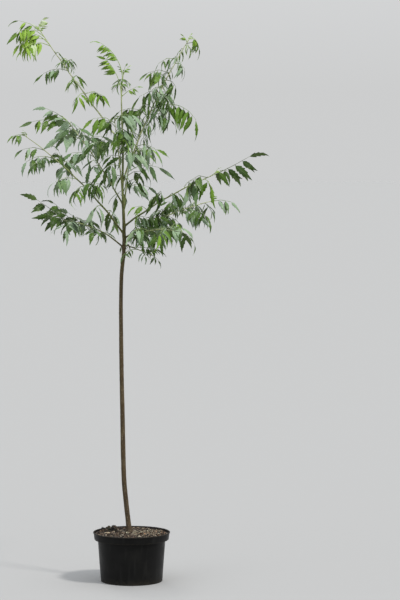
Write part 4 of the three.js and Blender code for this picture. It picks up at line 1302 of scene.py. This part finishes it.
def grow_crown():
    """Every shoot's leaves in the solids' order, and then its finer leaves, its buds and its tuft."""
    crown = Crown([], [], [], [])
    for mass, (name, (shoot, leaves)) in enumerate(SHOOTS.items()):
        look, path = LOOKS[name], shoot_paths[name]
        rule = Rule(crown, mass, shoot.hang, seeded_draws(shoot.seed), seeded_draws(shoot.seed + 1000))
        finer = finer_leaves(name, seeded_draws(shoot.seed + 2000))
        finer += [Leaf(*row) for row in ADDED_LEAVES.get(name, [])]
        for number, leaf in enumerate(leaves + finer):
            root, ahead, _, _ = station(path, leaf.place)
            tone = dealt_tone(look, leaf, rule.extra)
            width = look.tip_broad if leaf.place > AT_TIP else look.broad
            own = rule if number < len(leaves) else rule._replace(draw=rule.extra)
            grow_leaf(own, root, leaf, tone, width, leaf.blade > look.pairs_from)
            out = unit(outward(leaf.compass, BUD_LIFT))
            radius = mixed(shoot.radius, SHOOT_TIP_RADIUS, leaf.place)
            place = root + ahead * BUD_AHEAD + out * radius * BUD_OUT
            crown.buds.append((place, unit(out + ahead * BUD_LEAN), 1.0))
        tip, ahead, _, _ = station(path, 1.0)
        crown.buds.append((tip - ahead * TIP_BUD_SUNK, ahead, TIP_BUD))
        grow_tuft(rule, name)
    return crown


crown = grow_crown()
print("grown:", len(crown.stalks), "stalks and", len(crown.leaflets), "leaflets")

# %% [markdown]
# ## Room for the limbs
#
# A leaflet that would pass through the stem or through a shoot is left out, as in the solids. The test
# takes a few places along each leaflet and measures how far they are from the stem's line and from
# places along every shoot.

# %% Leave out what would cut through a limb
TESTED_SHARES = np.array([0.4, 0.6, 0.8, 1.0])
STEM_CLEARANCE, SHOOT_CLEARANCE = 2.0, 1.2


def clear_of_limbs(foot, forward, length):
    """True where every tested place is further from each limb's line than its radius and a little."""
    places = foot[:, None] + forward[:, None] * (TESTED_SHARES[:, None] * length[:, None, None])
    z = np.clip(places[..., 2], STEM_BOTTOM, STEM_TOP)
    line = stem_centre(z.ravel())[:, :2].reshape(*z.shape, 2)
    away = np.linalg.norm(places[..., :2] - line, axis=-1)
    clear = ((away > stem_radius(z) + STEM_CLEARANCE) | (places[..., 2] > STEM_TOP + 4)).all(axis=1)
    for name, (shoot, _) in SHOOTS.items():
        share = np.linspace(0, 1, 160)
        radius = mixed(shoot.radius, SHOOT_TIP_RADIUS, share)
        gaps = np.linalg.norm(places[:, :, None] - stations(shoot_paths[name], share)[0], axis=-1) - radius
        clear &= (gaps > SHOOT_CLEARANCE).all(axis=(1, 2))
    return clear


mass_of, foot, forward, side, length, turn, tone, width = (np.array(v) for v in zip(*crown.leaflets))
kept = clear_of_limbs(foot, forward, length)
print(int((~kept).sum()), "of", len(kept), "leaflets are left out")

# %% [markdown]
# ## A leaflet
#
# Each leaflet is a pointed oval with a few coarse teeth and a long drip tip. It arches up from its stalk
# and hangs over towards its tip, folds a little along the midrib, and is seldom quite flat. It is a
# closed thin blade of 45 faces: eight rings of five points, two on the edges, two beside the midrib and
# one under it. The narrow strip between the two middle points is the midrib, in a paler green, and the
# underside is paler too. All leaflets are worked out at once: every value below has one row per leaflet.

# %% The blade's outline and curve
RING_SHARES = np.array([0.10, 0.22, 0.27, 0.40, 0.45, 0.60, 0.66, 0.84])
TOOTH = np.array([0.0, 1.0, -1.0, 1.0, -1.0, 1.0, -1.0, 0.35])
TOOTH_FORWARD, TOOTH_OUT = 0.022, 0.13
COARSE_TEETH, BROAD_BLADE = 1.6, 1.35
OUTLINE_POWERS = (0.85, 1.5)
BLADE_WIDTH, BLADE_THICKNESS = 0.19, 0.36
MIDRIB_WIDTH, KEEL = 0.5, 0.3
RISE_AT_FOOT, HANG_TO_TIP, HANG_POWER = -0.28, 1.05, 1.3
MIDRIB_STEPS = 40
RIPPLES, TWIST_FROM = 1.6, 0.3
COARSE_ODDS = (0.7, 0.25)
# The ranges that each leaflet's own values are drawn from.
HANGS, TEETH_LONG, SKEWS, BREADTHS = (0.7, 1.45), (0.5, 1.2), (0.88, 1.12), (0.86, 1.16)
FOLDS, WAVES, TWISTS = (-0.42, 0.22), (0.0, 0.028), (-0.5, 0.5)


def outline(share):
    """Half width as a share of the widest: share^0.85 · (1 - share)^1.5, over its own largest value."""
    a, b = OUTLINE_POWERS
    widest = a / (a + b)
    return share**a * (1 - share) ** b / (widest**a * (1 - widest) ** b)


def midrib(share, hang):
    """The midrib's line in the leaflet's own plane. Its slope turns from 0.28 radians up at the foot by
    1.05 · hang · share^1.3 downwards, and the line is scaled so that its tip is one length ahead."""
    slope = RISE_AT_FOOT + HANG_TO_TIP * hang * np.linspace(0, 1, MIDRIB_STEPS + 1) ** HANG_POWER
    middle = (slope[:, 1:] + slope[:, :-1]) / 2
    start = np.zeros((len(hang), 1))
    ahead, drop = (np.concatenate([start, np.cumsum(f(middle), axis=1)], axis=1) for f in (np.cos, np.sin))
    pick = np.clip(share * MIDRIB_STEPS, 0, MIDRIB_STEPS)
    low = np.minimum(pick.astype(int), MIDRIB_STEPS - 1)
    part = pick - low
    tables = (ahead / ahead[:, -1:], -drop / ahead[:, -1:], slope)
    return [table[:, low] * (1 - part) + table[:, low + 1] * part for table in tables]


def combined(first, along, second, above):
    """first · along + second · above, for every ring of every leaflet."""
    return first[..., None] * along[:, None] + second[..., None] * above[:, None]


def blades(foot, forward, side, length, turn, width, seed):
    """Points of all leaflets, 42 each. A ring's points lie across the midrib at plus and minus the half
    width, lifted by fold, wave and twist, and at the midrib's two sides and its underside."""
    length, turn, width = length[:, None], turn[:, None], width[:, None]
    draw = np.random.default_rng(seed)
    normal = unit(np.cross(forward, side) * np.cos(turn) + side * np.sin(turn))
    across = np.cross(normal, forward)
    hang = draw.uniform(*HANGS, length.shape)
    coarse = draw.random(length.shape) < np.where(width > BROAD_BLADE, *COARSE_ODDS)
    teeth = np.where(coarse, COARSE_TEETH, draw.uniform(*TEETH_LONG, length.shape))
    ranges = (FOLDS, WAVES, TWISTS, (0, 2 * np.pi), BREADTHS, SKEWS)
    fold, wave, twist, phase, widened, skew = (draw.uniform(*ends, length.shape) for ends in ranges)
    ring_share = RING_SHARES + TOOTH_FORWARD * teeth * np.maximum(TOOTH, 0)
    half = BLADE_WIDTH / 2 * width * widened * length * outline(ring_share) * (1 + TOOTH_OUT * teeth * TOOTH)
    ahead, rise, slope = midrib(RING_SHARES, hang)
    centre = foot[:, None] + length[..., None] * combined(ahead, forward, rise, normal)
    along = combined(np.cos(slope), forward, -np.sin(slope), normal)
    above = combined(np.cos(slope), normal, np.sin(slope), forward)
    turned_by = (twist * (RING_SHARES - TWIST_FROM))[..., None]
    flat = across[:, None] * np.cos(turned_by) + above * np.sin(turned_by)
    ripple = wave * length * np.sin(2 * np.pi * RIPPLES * RING_SHARES + phase)
    forth = ((ring_share - RING_SHARES) * length)[..., None] * along
    strip = np.minimum(MIDRIB_WIDTH * (1 - 0.7 * RING_SHARES), 0.4 * half)[..., None]
    edges, beside = [], []
    for hand, share in ((1, skew), (-1, 2 - skew)):
        reach = half * share
        lift = fold * reach + hand * ripple
        edges.append(centre + hand * reach[..., None] * flat + lift[..., None] * above + forth)
        beside.append(centre + hand * strip * flat + (BLADE_THICKNESS / 2) * above)
    under = centre - (BLADE_THICKNESS / 2 + KEEL * (1 - RING_SHARES))[:, None] * above
    rings = np.stack([edges[0], beside[0], beside[1], edges[1], under], axis=2)
    end_ahead, end_rise, _ = midrib(np.array([1.0]), hang)
    tip = foot + length * (end_ahead * forward + end_rise * normal)
    return np.concatenate([rings.reshape(len(foot), -1, 3), foot[:, None], tip[:, None]], axis=1)


leaf_faces = tube_faces(len(RING_SHARES), 5)
print("a leaflet has", sum(map(len, leaf_faces)), "faces")

# %% Leaf finishes
# blue_grey is partly and the last tone wholly a painted sheen: the sky's reflection put into a plain base
# colour.
LEAF_COLOURS = {
    # deep: partly the leaves' own dark green, partly painted shade.
    "deep": ((0.026, 0.054, 0.008), 0.32), "mature": ((0.044, 0.088, 0.012), 0.33),
    # The mid and bright greens are partly the leaves' own fresh green and partly a painted glow of light
    # through leaves lit from behind.
    "blue_grey": ((0.092, 0.152, 0.062), 0.34), "mid": ((0.068, 0.134, 0.012), 0.36),
    "bright": ((0.104, 0.196, 0.014), 0.38), "lime": ((0.165, 0.270, 0.030), 0.42),
    "pale": ((0.330, 0.400, 0.220), 0.50), "painted_sky_sheen": ((0.176, 0.246, 0.152), 0.36),
}
PALER_TOWARDS = (0.36, 0.46, 0.20)
# How much paler and how much duller each side of a leaflet is, and its specular level.
LEAF_SIDES = {"": (0.0, 0.0, 0.12), "_under": (0.16, 0.2, 0.08), "_midrib": (0.22, 0.05, 0.12)}
UPPER, UNDER, RIB = range(3)
SIDE_OF_COLUMN = [UPPER, RIB, UPPER, UNDER, UNDER]


def leaf_finishes():
    """For each tone a glossy upper side, a paler, duller underside and a paler midrib. They are plain
    colours on the shader itself, because a pattern would be lost on a joined mesh of leaves."""
    made = []
    for name, (colour, roughness) in LEAF_COLOURS.items():
        for suffix, (paler, duller, specular) in LEAF_SIDES.items():
            tone = tuple(mixed(c, target, paler) for c, target in zip(colour, PALER_TOWARDS))
            made.append(new_finish(f"leaf_{name}{suffix}", tone, roughness + duller, specular))
    return made


leaf_materials = leaf_finishes()
print(len(leaf_materials), "leaf finishes")

# %% Leaves, one piece for each mass
for mass, name in enumerate(SHOOTS):
    own = kept & (mass_of == mass)
    points = blades(*(values[own] for values in (foot, forward, side, length, turn, width)), 300 + mass)
    finish_of = len(LEAF_SIDES) * tone[own][:, None]
    which = [(finish_of + np.tile(SIDE_OF_COLUMN, len(group) // 5)).ravel() for group in leaf_faces]
    used, renumbered = np.unique(np.concatenate(which), return_inverse=True)
    faces = copies(leaf_faces, *points.shape[:2])
    leaves = make_piece(f"leaves_{name}", points.reshape(-1, 3), faces,
                        [leaf_materials[i] for i in used], renumbered, sharp=70)
    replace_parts(leaves, f"foliage_{name}")

# %% [markdown]
# ## Stalks and buds
#
# A leaf's stalk is swollen where it joins the shoot and thins to under a millimetre. Each leaflet has a
# stalk of its own, a few millimetres long, and there is a small bud over every leaf and a larger one at
# each shoot's tip. All are tubes of a few sides, the stalks made together for each mass, the buds as one.

# %% Stalks of leaves and leaflets
STALK_ROWS, STALK_SIDES, STALKLET_SIDES = 14, 7, 5
STALK_FOOT, STALK_TIP, STALK_SWELLING, STALK_SWELLING_REACH = 1.15, 0.5, 0.9, 4.0
STALK_COLOURS = {"green": (0.115, 0.170, 0.045), "fresh": (0.215, 0.300, 0.070),
                 "dull": (0.085, 0.110, 0.045)}
GREEN, FRESH, DULL = range(3)
STALK_OF_TONE = np.array([DULL, DULL, GREEN, GREEN, FRESH, FRESH, FRESH, GREEN])
stalk_materials = [new_finish(f"stalk_{key}", colour, 0.45) for key, colour in STALK_COLOURS.items()]


def square_to(ahead):
    """Two directions square to each one given, and to each other."""
    across = unit(np.cross(ahead, [0.31, 0.17, 0.93]))
    return across, np.cross(ahead, across)


def straight_tubes(at, ahead, radius, sides):
    """Tubes of round rings, all square to the tube's own direction."""
    spread = [np.broadcast_to(v[:, None], at.shape) for v in square_to(ahead)]
    return tube_points(at, *spread, np.broadcast_to(radius[..., None], (*radius.shape, sides)))


def leaf_stalks(rows):
    """Radius = taper from 1.15 mm, more on a long leaf, to 0.5 mm + a swelling that dies away in 4 mm."""
    share = np.linspace(0, 1, STALK_ROWS) ** 1.3
    parts = []
    for _, path, reach, _ in rows:
        at, _, across, up = stations(path, share)
        radius = mixed(STALK_FOOT + reach / 400, STALK_TIP, share)
        radius = radius + STALK_SWELLING * np.exp(-share * reach / STALK_SWELLING_REACH)
        parts.append(tube_points(at, across, up, np.broadcast_to(radius[:, None], (STALK_ROWS, STALK_SIDES))))
    return np.array(parts)


def leaflet_stalks(rows):
    """Straight little tubes of three rings from root to foot, a quarter thicker at the root."""
    _, root, tip, radius, _ = (np.array(v) for v in zip(*rows))
    share = np.array([0.0, 0.5, 1.0])
    at = root[:, None] + (tip - root)[:, None] * share[:, None]
    return straight_tubes(at, unit(tip - root), radius[:, None] * (1.25 - 0.35 * share), STALKLET_SIDES)


def build_stalks(mass, name):
    """One piece of both kinds: the leaflets' stalks follow the leaves' in its points and faces."""
    kinds = ((crown.stalks, leaf_stalks, STALK_ROWS, STALK_SIDES),
             (crown.stalklets, leaflet_stalks, 3, STALKLET_SIDES))
    points, faces, which, start = [], [], [], 0
    for grown, shape, rings, sides in kinds:
        rows = [row for row in grown if row[0] == mass]
        tubes, groups = shape(rows), tube_faces(rings, sides)
        points.append(tubes.reshape(-1, 3))
        faces += copies(groups, *tubes.shape[:2], start)
        tones = STALK_OF_TONE[[row[-1] for row in rows]]
        which += [np.repeat(tones, len(group)) for group in groups]
        start += len(points[-1])
    make_piece(f"stalks_{name}", np.concatenate(points), faces, stalk_materials,
               np.concatenate(which))


for mass, name in enumerate(SHOOTS):
    build_stalks(mass, name)

# %% Buds
# Radius and height of the rings of a bud of size 1, in millimetres.
BUD_PROFILE = np.array([(0.55, 0.0), (1.0, 0.9), (1.05, 1.7), (0.75, 2.6), (0.35, 3.2)])
BUD_SIDES = 6
BUD_TONES = [(0.35, (0.060, 0.045, 0.025)), (0.7, (0.140, 0.130, 0.060))]


def build_buds():
    """A bud is turned from a small profile: egg-shaped, pointed, about three millimetres long."""
    at, ahead, size = (np.array(v) for v in zip(*crown.buds))
    radius, height = (size[:, None] * column for column in BUD_PROFILE.T)
    points = straight_tubes(at[:, None] + ahead[:, None] * height[..., None], ahead, radius, BUD_SIDES)
    faces = copies(tube_faces(len(BUD_PROFILE), BUD_SIDES), *points.shape[:2])
    bud = new_finish("bud_scales", (0.095, 0.075, 0.035), 0.6)
    scales = shades(bud, grain(bud, 900, detail=3), BUD_TONES)
    make_piece("buds", points.reshape(-1, 3), faces, [finish_off(bud, scales)])


build_buds()

# %% [markdown]
# ## The studio
#
# The tree stands on a wide pale floor under soft light. A large lamp to the right and above does the
# sun's work, a weaker one on the left opens the shade, and the pale surroundings do the sky's. The
# surroundings have the floor's own brightness at the horizon, so that no edge shows behind the crown.

# %% Floor, surroundings and lamps
FLOOR_REACH = 90.0
FLOOR_TONE, HORIZON, ZENITH = (0.287, 0.287, 0.2845), (0.3375, 0.3405, 0.3415), (0.76, 0.79, 0.83)
HORIZON_HEIGHT, ZENITH_HEIGHT, SKY_STRENGTH = 0.02, 0.75, 1.8
AIM = np.array([0, 0, 1.3])
# Place, how many degrees the lamp spans, strength and colour.
LAMPS = {
    "key": ((3.2, -2.4, 5.8), 8.0, 3.0, (1.0, 0.97, 0.93)),
    "fill": ((-4.2, -4.0, 3.2), 35.0, 0.5, (0.94, 0.97, 1.0)),
    "rim": ((-1.5, 4.2, 4.5), 20.0, 0.7, (1.0, 0.99, 0.95)),
}


def build_floor():
    """One wide square without shine, FLOOR_REACH metres to each side."""
    mesh = bpy.data.meshes.new("floor")
    corners = [(x * FLOOR_REACH, y * FLOOR_REACH, 0) for x, y in ((-1, -1), (1, -1), (1, 1), (-1, 1))]
    mesh.from_pydata(corners, [], [(0, 1, 2, 3)])
    mesh.materials.append(new_finish("studio_floor", FLOOR_TONE, 0.85, 0.0))
    floor = bpy.data.objects.new("floor", mesh)
    bpy.context.scene.collection.objects.link(floor)
    floor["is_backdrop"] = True


def build_surroundings():
    """Sky colour by direction: the floor's tone at the horizon, whiter and brighter overhead."""
    world = bpy.data.worlds.new("surroundings")
    world.use_nodes = True
    bpy.context.scene.world = world
    tree = world.node_tree
    sky = tree.nodes["Background"]
    coords = tree.nodes.new("ShaderNodeTexCoord")
    split = tree.nodes.new("ShaderNodeSeparateXYZ")
    ramp = tree.nodes.new("ShaderNodeValToRGB")
    tree.links.new(coords.outputs["Generated"], split.inputs[0])
    tree.links.new(split.outputs["Z"], ramp.inputs[0])
    tree.links.new(ramp.outputs[0], sky.inputs["Color"])
    low, high = ramp.color_ramp.elements
    low.position, low.color = HORIZON_HEIGHT, (*HORIZON, 1)
    high.position, high.color = ZENITH_HEIGHT, (*ZENITH, 1)
    sky.inputs["Strength"].default_value = SKY_STRENGTH


def build_lamps():
    """Each lamp is a wide soft disc far away, so that it lights the whole floor evenly."""
    for name, (place, spread, strength, colour) in LAMPS.items():
        light = bpy.data.lights.new(name, "SUN")
        light.angle, light.energy, light.color = math.radians(spread), strength, colour
        lamp = bpy.data.objects.new(name, light)
        away = np.array(place) - AIM
        lamp.location = place
        lamp.rotation_euler = (math.atan2(np.hypot(away[0], away[1]), away[2]), 0,
                               math.atan2(away[0], -away[1]))
        bpy.context.scene.collection.objects.link(lamp)
    print(len(LAMPS), "lamps")


build_floor()
build_surroundings()
build_lamps()
bpy.context.scene.view_settings.view_transform = "Standard"

# %% [markdown]
# ## Sizes, and the end
#
# The box of the solids and the box of the finished pieces are compared, and the growth at the low and
# high corners is printed. The looks may not change the object's size.

# %% Print the box's growth, and finish
visual_low, visual_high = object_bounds()
growth = np.subtract([visual_low, visual_high], [solid_low, solid_high]) / MM
print("growth at the low and high corners, mm:", growth.round(1).tolist())
